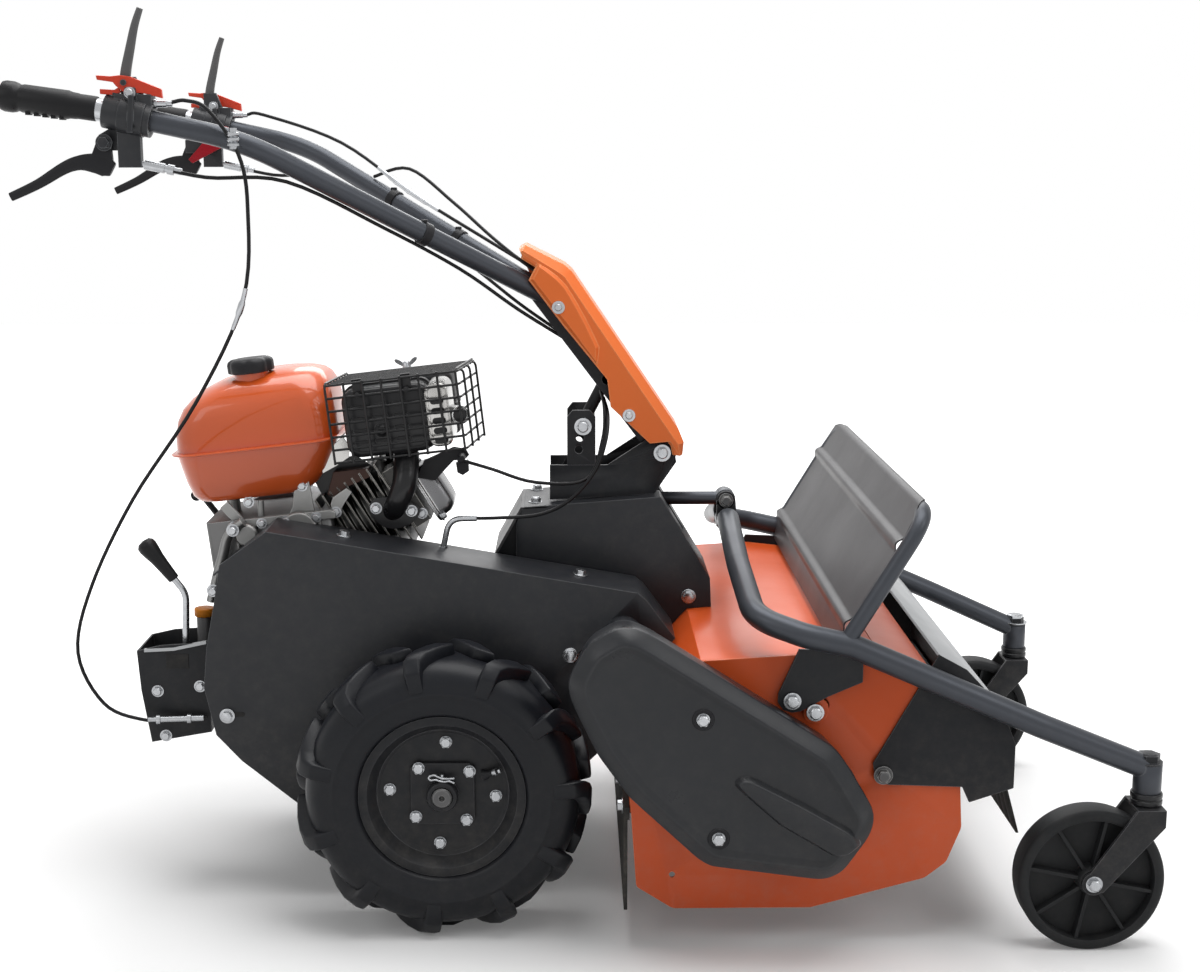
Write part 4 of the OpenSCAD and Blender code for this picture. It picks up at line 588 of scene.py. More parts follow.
def makeBoltTree():
    # hexagon heads on washers at points with an aim
    tree, start = growTree("boltField", {"Head": "Float", "Rise": "Float", "Washer": "Float"})
    washer = addNode(tree, "GeometryNodeMeshCylinder",
                     {"Vertices": 28, "Depth": 0.002, "Radius": start["Washer"]})
    hexagon = addNode(tree, "GeometryNodeMeshCone",
                      {"Vertices": 6, "Radius Bottom": start["Head"], "Radius Top": start["Head"],
                       "Depth": start["Rise"]})
    crown = addNode(tree, "GeometryNodeMeshCone",
                    {"Vertices": 24, "Depth": 0.0012,
                     "Radius Bottom": mathNode(tree, "MULTIPLY", start["Head"], 0.86),
                     "Radius Top": mathNode(tree, "MULTIPLY", start["Head"], 0.7)})
    lift = addNode(tree, "ShaderNodeCombineXYZ", {"Z": start["Rise"]})
    raised = addNode(tree, "GeometryNodeTransform",
                     {"Geometry": crown.outputs["Mesh"], "Translation": lift.outputs[0]})
    join = tree.nodes.new("GeometryNodeJoinGeometry")
    for source in (washer.outputs["Mesh"], hexagon.outputs["Mesh"], raised.outputs["Geometry"]):
        tree.links.new(source, join.inputs[0])
    aim = addNode(tree, "GeometryNodeInputNamedAttribute", {"Name": "aim"}, data_type="FLOAT_VECTOR")
    turn = addNode(tree, "FunctionNodeAlignRotationToVector", {"Vector": aim.outputs["Attribute"]}, axis="Z")
    spread = addNode(tree, "GeometryNodeInstanceOnPoints",
                     {"Points": start["Geometry"], "Instance": join.outputs[0],
                      "Rotation": turn.outputs["Rotation"]})
    return endTree(tree, start, spread.outputs[0])


def makeRingTree():
    # the piece repeated round an axle along Y
    tree, start = growTree("ringOf", {"Count": "Int", "Phase": "Float", "Centre": "Vector"})
    line = addNode(tree, "GeometryNodeMeshLine", {"Offset": (0, 0, 0), "Count": start["Count"]})
    index = addNode(tree, "GeometryNodeInputIndex")
    step = mathNode(tree, "DIVIDE", 2 * math.pi, start["Count"])
    angle = mathNode(tree, "ADD", mathNode(tree, "MULTIPLY", index.outputs[0], step), start["Phase"])
    turn = addNode(tree, "ShaderNodeCombineXYZ", {"Y": angle})
    spread = addNode(tree, "GeometryNodeInstanceOnPoints",
                     {"Points": line.outputs["Mesh"], "Instance": start["Geometry"],
                      "Rotation": turn.outputs[0]})
    move = addNode(tree, "GeometryNodeTransform",
                   {"Geometry": spread.outputs[0], "Translation": start["Centre"]})
    return endTree(tree, start, move.outputs[0])


def makeWireTree():
    # round wire along every edge of a plain line mesh
    tree, start = growTree("wireRun", {"Radius": "Float", "Sides": "Int"})
    curve = addNode(tree, "GeometryNodeMeshToCurve", {"Mesh": start["Geometry"]})
    ring = addNode(tree, "GeometryNodeCurvePrimitiveCircle",
                   {"Resolution": start["Sides"], "Radius": start["Radius"]})
    tube = addNode(tree, "GeometryNodeCurveToMesh",
                   {"Curve": curve.outputs["Curve"], "Profile Curve": ring.outputs["Curve"],
                    "Fill Caps": True})
    return endTree(tree, start, tube.outputs[0])


boltTree = makeBoltTree()
ringTree = makeRingTree()
wireTree = makeWireTree()


def grow(obj, tree, values):
    modifier = obj.modifiers.new(tree.name, "NODES")
    modifier.node_group = tree
    for item in tree.interface.items_tree:
        if item.item_type == "SOCKET" and item.in_out == "INPUT" and item.name in values:
            modifier[item.identifier] = values[item.name]
    bake(obj)
    return obj


def facing(points, aim):
    return [(point, aim) for point in points]


def bolts(name, places, body="chassis", head=8.0, rise=6.0, washer=11.0, finish="zinc"):
    # places: point in drawing millimetres and the way the head faces
    mesh = bpy.data.meshes.new(name)
    mesh.from_pydata([at(*p) for p, aim in places], [], [])
    aims = mesh.attributes.new("aim", "FLOAT_VECTOR", "POINT")
    for i, (p, aim) in enumerate(places):
        aims.data[i].vector = aim
    obj = addObject(name, mesh)
    grow(obj, boltTree, {"Head": head * mm, "Rise": rise * mm, "Washer": washer * mm,
                         "Material": skin[finish]})
    return settle(obj, body, bevel=0.35, segments=1, crease=25.0)


# control cables: route points as on the drawing, and where those that bend leave handlebar and chassis
cables = {
    "radius": 2.6, "step": 6, "sides": 12,
    "routes": {
        "shiftLoop": [(-360, -265, 1134), (-340, -265, 1136), (-320, -270, 1138), (-290, -280, 1126),
                      (-252, -286, 1070), (-242, -288, 1000), (-256, -270, 880), (-330, -240, 740),
                      (-430, -210, 600), (-500, -190, 470), (-528, -176, 370), (-500, -160, 290),
                      (-450, -150, 262), (-400, -142, 258), (-356, -140, 262)],
        "bladeLeft": [(-360, 265, 1134), (-340, 264, 1135), (-310, 256, 1134), (-180, 190, 1090),
                      (-60, 120, 1010), (60, 60, 940), (108, 40, 912), (142, 34, 890)],
        "brakeRight": [(-372, -265, 1056), (-300, -262, 1040), (-200, -230, 1034), (-80, -150, 970),
                       (20, -90, 910), (100, -50, 850), (166, -26, 806)],
        "brakeLeft": [(-372, 265, 1056), (-300, 262, 1040), (-200, 230, 1034), (-80, 150, 970),
                      (20, 80, 910), (100, 48, 850), (166, 26, 806)],
        "safetyLine": [(-130, 190, 1038), (-70, 140, 1050), (0, 90, 1000), (60, 40, 950), (110, 12, 912),
                       (142, 10, 892)],
        "throttle": [(222, -20, 726), (227, -54, 704), (224, -72, 660), (200, -96, 606), (126, -110, 604),
                     (62, -100, 622), (16, -80, 632)],
        "brakeLine": [(226, -24, 716), (232, -62, 694), (228, -90, 660), (212, -100, 618), (176, -106, 577),
                      (132, -108, 556), (74, -107, 551), (32, -105, 550)],
    },
    "bends": {
        "shiftLoop": ((-256, -270, 900), (-500, -190, 430)),
        "throttle": ((226, -60, 700), (120, -112, 596)),
        "brakeLine": ((230, -60, 690), (120, -112, 556)),
    },
}


def makeCable(name, route):
    points = spline(route, cables["step"])
    bends = cables["bends"].get(name)
    bm = bmesh.new()
    sweep(bm, points, cables["radius"], cables["sides"])
    obj = shape(name + "Cable", bm, "cableSkin", None if bends else "handlebar", crease=60.0)
    if bends:
        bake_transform(obj)
    return obj


madeCables = [makeCable(name, route) for name, route in cables["routes"].items()]
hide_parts("control_cables")
print("cables")


# drive wheels
tyre = {
    "centre": (0, 282, 206), "outer": 206, "carcass": 190, "half": 53, "lugs": 11, "slant": 40,
    "turn": -11.7, "lugRounding": 0.0026, "crown": 44, "shoulder": 45,
    # stations over the crown and down the side: across, below the carcass, rise, half width at the top
    "stations": [(-6, 0, 15.4, 13), (6, 0, 15.8, 15), (20, 0, 15.8, 15), (34, 2, 16, 13), (43, 7, 15, 11.5),
                 (49, 14, 11.5, 10.5), (52, 24, 6, 10), (53, 38, 2.4, 9.5)],
    # radius and distance in from the outer face, from the bead to the crown
    "profile": [(107, 15), (115, 12), (117, 6), (120, 3), (124, 1.5), (135, 0.6), (146, -0.2), (148, -1.4),
                (150, -1.4), (152, -0.2), (160, 0.6), (170, 3.5), (178, 9), (185, 17), (189, 28), (190, 40)],
}


def makeLug():
    slant = math.tan(math.radians(tyre["slant"]))
    lug = bmesh.new()
    rings = []
    for y, below, rise, width in tyre["stations"]:
        r = tyre["carcass"] - below
        turn = slant * (tyre["crown"] - min(y, tyre["crown"])) / tyre["carcass"]
        ring = []
        for edge, up in ((-1.25, -4), (-0.95, rise), (0.95, rise), (1.25, -4)):
            angle = turn + edge * width / r
            high, out = r + up, y
            if y > tyre["shoulder"]:  # down the side the lug stands outwards
                high = r + (rise * 0.55 if up > 0 else -2)
                out = y + (rise * 0.42 if up > 0 else -4)
            high = min(high, tyre["outer"] - 0.2)
            out = min(out, tyre["half"] + 2.4)
            ring.append(lug.verts.new((high * math.sin(angle), -out, high * math.cos(angle))))
        rings.append(ring)
    skinRings(lug, rings)
    return lug


def makeTyre(side, label):
    x, y, z = tyre["centre"]
    y = side * y
    near = [(r, inward - tyre["half"]) for r, inward in tyre["profile"]]
    bm = bmesh.new()
    lathe(bm, bothEnds(near), (x, y, z), steps=144)
    shape("tyre" + label, bm, "tyreRubber", "wheel_" + label, crease=50.0, stands=("tyre_" + label,))
    for row, face, lag in (("Outer", side, 0.0), ("Inner", -side, math.pi / tyre["lugs"])):
        lug = makeLug()
        if face > 0:
            for v in lug.verts:
                v.co.y = -v.co.y
        obj = bare("lugs" + row + label, lug)
        rounding = obj.modifiers.new("rounding", "BEVEL")
        rounding.width = tyre["lugRounding"]
        rounding.segments = 2
        bake(obj)
        obj.data.materials.append(skin["tyreRubber"])
        obj.data.shade_smooth()
        grow(obj, ringTree, {"Count": tyre["lugs"], "Phase": math.radians(tyre["turn"]) + lag,
                             "Material": skin["tyreRubber"], "Centre": at(x, y, z)})
        settle(obj, "wheel_" + label, crease=48.0)


hub = {
    "half": 44, "cut": 7, "plate": 6, "disc": 24, "innerBolt": 35, "outerBolt": 73, "boltTurn": 4,
    "boss": [(22, 0), (22, 12), (20, 16), (14.5, 16), (14.5, 0)],
    "axle": [(14, -100), (14, 24), (12, 26), (4.2, 26), (2.0, 22), (0.4, 21)],
    # spring clip: its pin's ends and its loop above the axle
    "pin": (13, 31), "pinOut": 8, "clipRise": 25, "clipOut": 11, "clipPitch": 0.2,
    "clip": [(17, 1), (2, 1), (-4, 3), (-10, 6), (-16, 5), (-18, 2), (-15, -1), (-9, 0), (-3, -2), (4, -3),
             (10, -2), (17, -5)],
    "valveTurn": 66, "valveReach": 62, "valveWay": (0.9, 0.45), "capAlong": 16,
    "valve": [(8, 0), (7.5, 3), (4.6, 7), (4.4, 15), (3.6, 15), (3.6, 26), (0.8, 27)],
    "cap": [(4.6, 0), (4.8, 1), (4.8, 5), (3.4, 6), (3.4, 12), (2.6, 13), (0.6, 13)],
}


def makeHub(side, label):
    y, z = side * tyre["centre"][1], tyre["centre"][2]
    face = y + side * hub["disc"]
    front = face + side * hub["plate"]
    out = (0, side, 0)
    body = "wheel_" + label
    dress("rim_" + label, "blackSteel", 1.6, segments=3)
    bm = bmesh.new()
    h, c = hub["half"], hub["half"] - hub["cut"]
    outline = [(-c, -h), (c, -h), (h, -c), (h, c), (c, h), (-c, h), (-h, c), (-h, -c)]
    prism(bm, [(px, pz + z) for px, pz in outline], face, front)
    lathe(bm, hub["boss"], (0, front, z), out, 40)
    shape("hubPlate" + label, bm, "blackSteel", body, bevel=1.2, stands=("hub_" + label,))
    bm = bmesh.new()
    lathe(bm, hub["axle"], (0, face, z), out, 40, closed=False)
    shape("axleEnd" + label, bm, "castDark", body, bevel=0.5)
    places = []
    for k in range(4):
        a = math.radians(90 * k + hub["boltTurn"])
        places.append(((math.sin(a) * hub["outerBolt"], face, z + math.cos(a) * hub["outerBolt"]), out))
        b = a + math.radians(45)
        reach = hub["innerBolt"] * math.sqrt(2)
        places.append(((math.sin(b) * reach, front, z + math.cos(b) * reach), out))
    bolts("wheelBolts" + label, places, body, head=8.2, rise=6.0, washer=8.6)
    bm = bmesh.new()
    pinY = front + side * hub["pinOut"]
    rod(bm, (0, pinY, z + hub["pin"][0]), (0, pinY, z + hub["pin"][1]), 2.6, 12)
    loop = [(px, front + side * (hub["clipOut"] + hub["clipPitch"] * i), z + hub["clipRise"] + pz)
            for i, (px, pz) in enumerate(hub["clip"])]
    sweep(bm, spline(loop, 4), 1.5, 8)
    shape("axleClip" + label, bm, "zinc", body, crease=60.0)
    a = math.radians(hub["valveTurn"])
    spoke = Vector((math.sin(a), 0, math.cos(a)))
    foot = Vector((0, face + side, z)) + spoke * hub["valveReach"]
    way = (spoke * hub["valveWay"][0] + Vector((0, side * hub["valveWay"][1], 0))).normalized()
    bm = bmesh.new()
    lathe(bm, hub["valve"], foot, way, 20, closed=False)
    shape("tyreValve" + label, bm, "blackPlastic", body, crease=40.0)
    bm = bmesh.new()
    lathe(bm, hub["cap"], foot + way * hub["capAlong"], way, 16, closed=False)
    shape("valveCap" + label, bm, "zinc", body, crease=40.0)


for wheelSide, wheelLabel in sides:
    makeTyre(wheelSide, wheelLabel)
    makeHub(wheelSide, wheelLabel)
print("drive wheels")


# solids that keep their shape: finish, rounding, and the slot where it isn't the finish's usual one
plainSkins = {
    "side_plate_right": ("darkPaint", 1.4), "side_plate_left": ("darkPaint", 1.4),
    "chassis_bed": ("blackSteel", 1.2), "transaxle": ("castDark", 2.0),
    "handle_tower": ("darkPaint", 1.2), "handle_bracket": ("blackSteel", 0.8),
    "crankcase": ("caseMetal", 3.0), "cylinder": ("finMetal", 0.6),
    "shift_console": ("blackSteel", 1.2), "drive_belt": ("flapRubber", 0.8),
    "jackshaft_tube": ("darkPaint", 1.0), "deck_shell": ("orangePaint", 1.2),
    "deck_side_right": ("orangePaint", 1.0), "deck_side_left": ("orangePaint", 1.0),
    "rotor_bearings": ("castDark", 1.5), "rear_flap": ("flapRubber", 0.8),
    "chassis_bolts": ("zinc", 0.4), "oil_cap": ("amberPlastic", 1.5),
    "engine_switch": ("redPlastic", 1.2), "starter_grip": ("blackPlastic", 1.5),
    "drive_pulley": ("castDark", 1.0), "rotor": ("castDark", 1.0),
    "flails_a": ("castAlloy", 0.8), "flails_b": ("castAlloy", 0.8),
    "guard_fringe": ("flapRubber", 0.6), "tie_rod": ("tubePaint", 0.8, "black_steel"),
    "caster_fork_right": ("blackSteel", 0.8), "caster_fork_left": ("blackSteel", 0.8),
    "control_mounts": ("darkPaint", 1.2, "black_plastic"), "safety_lever": ("darkRed", 1.0),
}
for skinName, skinLook in plainSkins.items():
    dress(skinName, *skinLook)
print("plain skins")


# the far side plate is cut lower than its solid, the heads drawn on the deck sides go flat under the gussets,
# which carry bolts of their own, and a strip edges the deck in front
deck = {"plateTop": ((-253, 0, 486), (272, 0, 395)), "flat": 0.356, "half": 345,
        "edge": [(598, 400.6), (606, 400), (657, 393.6), (660, 389)]}


def finishDeck():
    trimTop(bpy.data.objects["side_plate_leftSkin"], *deck["plateTop"])
    for name in ("deck_side_rightSkin", "deck_side_leftSkin"):
        for v in bpy.data.objects[name].data.vertices:
            v.co.y = offset.y + max(-deck["flat"], min(deck["flat"], v.co.y - offset.y))
    bm = bmesh.new()
    under = [(x - 0.6, z - 3) for x, z in reversed(deck["edge"])]
    prism(bm, deck["edge"] + under, -deck["half"], deck["half"])
    shape("deckEdge", bm, "orangePaint", bevel=0.8)


finishDeck()


# sloping end sheet of the tower, its gussets and bolts
tower = {"half": 74, "sheet": [(141, 561.4), (103, 559.6), (64, 490), (60, 470)], "gussetY": (56, 60),
         "gusset": [(104, 555), (67, 490), (62, 462), (104, 462)], "bolts": [(125, -39, 561), (125, 62, 561)]}


def makeTowerEnd():
    bm = bmesh.new()
    under = [(x + 3, z - 2.6) for x, z in reversed(tower["sheet"])]
    prism(bm, tower["sheet"] + under, -tower["half"], tower["half"])
    shape("towerEnd", bm, "panelPaint", bevel=0.5)
    bm = bmesh.new()
    for side in (-1, 1):
        prism(bm, tower["gusset"], side * tower["gussetY"][0], side * tower["gussetY"][1])
    shape("towerGussets", bm, "blackSteel", bevel=0.5)
    bolts("towerBolts", facing(tower["bolts"], (0, 0, 1)), head=7.5, rise=6.5, washer=11)


makeTowerEnd()


# handlebar: two bent tubes, the column arms and the strut, and bands that hold the cables
bar = {"radius": 14, "half": 265, "root": (150, 22, 862), "bend": (-250, 1087), "end": (-440, 1128),
       "tip": (-545, 1143), "curve": 190, "pivot": (313, 636), "armTop": (120, 892), "armWidth": 34,
       "armY": (31, 36), "strut": (232, 745), "strutEnd": (196, 676), "stop": (195.5, 675.8),
       "bands": ((-1, 0.44), (1, 0.36), (1, 0.62)), "band": [(14.2, -7), (16.6, -6), (16.6, 6), (14.2, 7)]}


def barCorners(side):
    x, y, z = bar["root"]
    bends = [(px, side * bar["half"], pz) for px, pz in (bar["bend"], bar["end"], bar["tip"])]
    return [Vector(p) for p in [(x, side * y, z)] + bends]


def band(a, b, width):
    a, b = Vector(a), Vector(b)
    side = Vector((-(b - a).y, (b - a).x)).normalized() * width / 2
    return [tuple(a + side), tuple(b + side), tuple(b - side), tuple(a - side)]


def crossRod(bm, place, y0, y1, radius, steps):
    rod(bm, (place[0], y0, place[1]), (place[0], y1, place[1]), radius, steps)


def makeHandlebar():
    bm = bmesh.new()
    for side in (-1, 1):
        sweep(bm, fillet(barCorners(side), bar["curve"], 14), bar["radius"], 28)
    shape("handleTubes", bm, "tubePaint", "handlebar", crease=60.0, stands=("handlebar",))
    bm = bmesh.new()
    near, far = bar["armY"]
    for side in (-1, 1):
        inner, outer = sorted((side * near, side * far))
        prism(bm, band(bar["pivot"], bar["armTop"], bar["armWidth"]), inner, outer)
        crossRod(bm, bar["pivot"], inner, outer, 19, 32)
    crossRod(bm, bar["pivot"], -near, near, 15, 32)
    crossRod(bm, bar["strut"], -far, far, 9, 24)
    (sx, sz), (ex, ez) = bar["strut"], bar["strutEnd"]
    rod(bm, (sx, 0, sz), (ex, 0, ez), 9, 24)
    crossRod(bm, bar["stop"], -26, 26, 11.5, 24)
    shape("columnArms", bm, "blackSteel", "handlebar", bevel=0.8)
    bm = bmesh.new()
    for side, share in bar["bands"]:
        root, bend = barCorners(side)[:2]
        place = root.lerp(bend, share)
        lathe(bm, bar["band"], place, (bend - root).normalized(), 32)
        rod(bm, place + Vector((0, 0, 15)), place + Vector((0, 0, 20)), 5, 12, 1)
    shape("tubeClips", bm, "blackPlastic", "handlebar", bevel=0.5)


makeHandlebar()


# grips: ribbed rubber sleeves with a flange
grip = {"slope": 0.142, "ribs": 5, "ribFrom": 46, "ribRun": 44, "ribDrop": 19,
        "profile": [(14.2, 0), (15.4, 0), (16.2, 1.5), (16.2, 23), (16.8, 26), (17.2, 33), (18.6, 38),
                    (18.4, 60),
                    (18.2, 95), (17.3, 98), (17.3, 100.5), (18.8, 103), (20, 108), (20, 118), (18.6, 122.5),
                    (14, 125.4), (6, 126), (0.6, 126)]}


def makeGrips():
    bm = bmesh.new()
    aim = Vector((-1, 0, grip["slope"])).normalized()
    for side in (-1, 1):
        start = Vector((bar["end"][0] + 4, side * bar["half"], bar["end"][1] - 0.6))
        lathe(bm, grip["profile"], start, aim, 40, closed=False)
        for k in range(grip["ribs"]):
            along = grip["ribFrom"] + grip["ribRun"] * k / (grip["ribs"] - 1)
            low = start + aim * along - Vector((0, 0, grip["ribDrop"]))
            block(bm, low.x - 2.4, low.x + 2.4, low.y - 8, low.y + 8, low.z - 1.4, low.z + 3)
    shape("gripSleeves", bm, "gripRubber", "handlebar", crease=40.0, stands=("handle_grips",))


makeGrips()


# levers at the grips: outlines about the hand and blade pivots, clamps about the tube
lever = {
    "handPivot": (-428, 1084.5), "bladePivot": (-398, 1160.5), "clamp": (-396, 1118.5), "tubeWay": (0.978, 0,
                                                                                                    -0.211),
    "hand": [(8, -35), (-2, -30), (-18, -26), (-36, -26), (-56, -33), (-90, -53), (-127, -70)],
    "handSizes": [18, 28, 25, 19, 16, 13, 11.5],
    "handRoot": [(-9, 6), (7, 8), (9, -26), (-4, -34), (-20, -20)],
    "blade": [(-1, -6), (1, 14), (8, 44), (15, 72), (23, 94)], "bladeSizes": [15, 14, 12, 10, 8],
    # red latch: a plate with a long prong, a short prong under it
    "latch": [(-35.6, 9.2), (-17, 8), (-4, 9.4), (9, 7.4), (48, -8), (49, -20), (25, -13.7), (6.6, -12.4),
              (-2.6, -11), (-10.6, -4), (-14, 0.5), (-34.4, 3.4)], "latchY": (4.2, 11),
    "prong": [(-31.7, -8), (-13, -9), (-8, -6), (-4, -12), (-12.4, -15.8), (-31.7, -14.5)], "prongY": (4.6,
                                                                                                       9),
    # clamp blocks: outline and how far they reach in Y
    "blocks": [([(-4, 18), (16, 18), (13, 36), (-1, 36)], -13, 13),
               ([(2, -22), (6, 26), (14, 26), (10, -22)], -25.5, -22),
               ([(-16, 8), (34, 6), (30, 22), (-18, 30)], -10, 10)],
    "ring": [(14.3, -17), (24, -17), (24, 17), (14.3, 17)],
    "collar": [(14.1, 0), (14.7, 0.6), (14.7, 10), (14.1, 10.6)],
    "barrel": [(0.8, -4), (5, -4), (6.4, 0), (6.4, 7), (5, 7), (5, 20), (4, 21), (4, 27), (0.8, 27)],
    "thread": [(0.8, -12), (4, -12), (4, 0), (6.5, 0), (6.5, 26), (5, 26), (5, 30), (6.8, 30), (6.8, 38),
               (4.5, 38), (4.5, 48), (0.8, 48)],
    "stack": [(0.6, 0), (5, 0), (5, 4), (8, 4), (8, 7), (5.5, 8), (8, 11), (8, 14), (5.5, 15), (8, 18),
              (8, 21),
              (5, 22), (5, 27), (0.6, 27)],
    "barrelAt": (-366, 1134), "threadAt": (-378, 1056.5), "collarAt": (-438, 1127.2), "stackAt": (-258, -285,
                                                                                                  1076),
}


def flatSweep(bm, points, sizes, y, thick, count=16, square=0.6):
    # tapering blade along a spline in X and Z, thick across Y
    path = spline([(x, y, z) for x, z in points], 6)
    last = len(path) - 1
    rings = []
    for i, point in enumerate(path):
        share = i / last * (len(sizes) - 1)
        low = min(int(share), len(sizes) - 2)
        size = sizes[low] + (sizes[low + 1] - sizes[low]) * (share - low)
        tangent = (path[min(i + 1, last)] - path[max(i - 1, 0)]).normalized()
        up = Vector((-tangent.z, 0, tangent.x))
        ring = []
        for k in range(count):
            a = 2 * math.pi * k / count
            flat = math.copysign(abs(math.cos(a)) ** square, math.cos(a))
            tall = math.copysign(abs(math.sin(a)) ** square, math.sin(a))
            ring.append(bm.verts.new(point + Vector((0, thick / 2, 0)) * flat + up * size / 2 * tall))
        rings.append(ring)
    skinRings(bm, rings)


def shifted(outline, place):
    return [(place[0] + u, place[1] + v) for u, v in outline]


def makeLevers():
    for side, label in sides:
        y = side * bar["half"]
        bm = bmesh.new()
        flatSweep(bm, shifted(lever["hand"], lever["handPivot"]), lever["handSizes"], y, 9)
        prism(bm, shifted(lever["handRoot"], lever["handPivot"]), y - 4, y + 4)
        body = "hand_lever_" + label
        shape("handLever" + label, bm, "blackPlastic", body, bevel=0.8, crease=40.0, stands=(body,))
        bm = bmesh.new()
        flatSweep(bm, shifted(lever["blade"], lever["bladePivot"]), lever["bladeSizes"], y, 6)
        body = "blade_lever_" + label
        shape("bladeLever" + label, bm, "castDark", body, crease=40.0, stands=(body,))
    for side, label in sides:
        bm = bmesh.new()
        for key in ("latch", "prong"):
            reach = [side * (bar["half"] + out) for out in lever[key + "Y"]]
            prism(bm, shifted(lever[key], lever["bladePivot"]), *reach)
        shape("latch" + label, bm, "redPlastic", "latch_" + label, bevel=1.0, stands=("latch_" + label,))
    bm = bmesh.new()
    places = []
    x, z = lever["clamp"]
    for side in (-1, 1):
        y = side * bar["half"]
        lathe(bm, lever["ring"], (x + 6, y, z - 1), lever["tubeWay"], 40)
        for outline, low, high in lever["blocks"]:
            prism(bm, shifted(outline, lever["clamp"]), y + low, y + high)
        places.append(((x + 6, y - 14, z + 29), (0, -1, 0)))
        places.append(((x + 6, y, z + 36), (0, 0, 1)))
        places.append(((lever["handPivot"][0], y + side * 6.2, lever["handPivot"][1]), (0, side, 0)))
    shape("clampBlocks", bm, "darkPaint", "handlebar", bevel=1.6)
    bolts("clampBolts", places, "handlebar", head=6.0, rise=4.5, washer=7.5)
    bm = bmesh.new()
    for side in (-1, 1):
        y = side * bar["half"]
        fittings = (("barrel", (1, 0, 0.02), 18, False), ("thread", (0.976, side * -0.04, -0.2), 18, False),
                    ("collar", lever["tubeWay"], 36, True))
        for key, aim, steps, closed in fittings:
            px, pz = lever[key + "At"]
            lathe(bm, lever[key], (px, y, pz), aim, steps, closed)
    lathe(bm, lever["stack"], lever["stackAt"], (0, 0, 1), 24, closed=False)
    shape("cableBarrels", bm, "zinc", "handlebar", crease=35.0)


makeLevers()
print("handlebar and levers")


# outlines and lofts for the moulded and pressed pieces
def roundedRing(u0, u1, v0, v1, r, steps=8):
    r = min(r, 0.49 * (u1 - u0), 0.49 * (v1 - v0))
    ring = []
    for cu, cv, begin in ((u1 - r, v1 - r, 0), (u0 + r, v1 - r, 90), (u0 + r, v0 + r, 180),
                          (u1 - r, v0 + r, 270)):
        for k in range(steps + 1):
            a = math.radians(begin + 90 * k / steps)
            ring.append((cu + r * math.cos(a), cv + r * math.sin(a)))
    return ring


def slotRing(x, z, half, r):
    return roundedRing(x - half, x + half, z - r, z + r, r, 5)


def loft(bm, levels, turn=lambda u, v, w: (u, v, w), matrix=Matrix.Identity(4)):
    # levels: height and the ring of points there
    rings = [[bm.verts.new(matrix @ Vector(turn(u, v, w))) for u, v in ring] for w, ring in levels]
    return skinRings(bm, rings)


def boxLoft(bm, low, high, levels, r, turn=lambda u, v, w: (u, v, w), matrix=Matrix.Identity(4)):
    # a rounded box from one corner to the other: height, how far it draws in there
    loft(bm, [(w, roundedRing(low[0] + d, high[0] - d, low[1] + d, high[1] - d, r)) for w, d in levels], turn,
         matrix)


def softened(outline, rounds=2, share=0.25):
    # corners cut again and again until the closed outline is round
    points = [Vector(p) for p in outline]
    for _ in range(rounds):
        cut = []
        for a, b in zip(points, points[1:] + points[:1]):
            cut += [a.lerp(b, share), a.lerp(b, 1 - share)]
        points = cut
    return [tuple(p) for p in points]


def inset(outline, depth, count, soften):
    # ring inside a convex outline, one point for each direction from the middle
    points = [Vector(p) for p in outline]
    middle = sum(points, Vector((0, 0))) / len(points)
    edges = []
    for a, b in zip(points, points[1:] + points[:1]):
        n = Vector(((b - a).y, -(b - a).x)).normalized()
        if n.dot(a - middle) < 0:
            n = -n
        edges.append((n, n.dot(a - middle) - depth))
    ring = []
    for k in range(count):
        way = Vector((math.cos(2 * math.pi * k / count), math.sin(2 * math.pi * k / count)))
        reach = min(far / n.dot(way) for n, far in edges if n.dot(way) > 0.001)
        ring.append(middle + way * reach)
    for _ in range(soften):
        ring = [ring[k - 1] * 0.25 + ring[k] * 0.5 + ring[(k + 1) % count] * 0.25 for k in range(count)]
    return [tuple(p) for p in ring]


def acrossY(u, v, w):
    return (u, w, v)


def plate(name, finish, outline, y0, y1, bevel=0.6):
    bm = bmesh.new()
    prism(bm, outline, y0, y1)
    shape(name, bm, finish, bevel=bevel)


# the engine leans back about its crank
engine = {"tilt": -6.5, "crank": (-262, 0, 452), "half": 78}
crank = Matrix.Translation(engine["crank"])
lean = crank @ Matrix.Rotation(math.radians(engine["tilt"]), 4, "Y") @ crank.inverted()
nearWay = (0, -1, 0)


def leant(bm):
    bmesh.ops.transform(bm, matrix=lean, verts=bm.verts)
    return bm


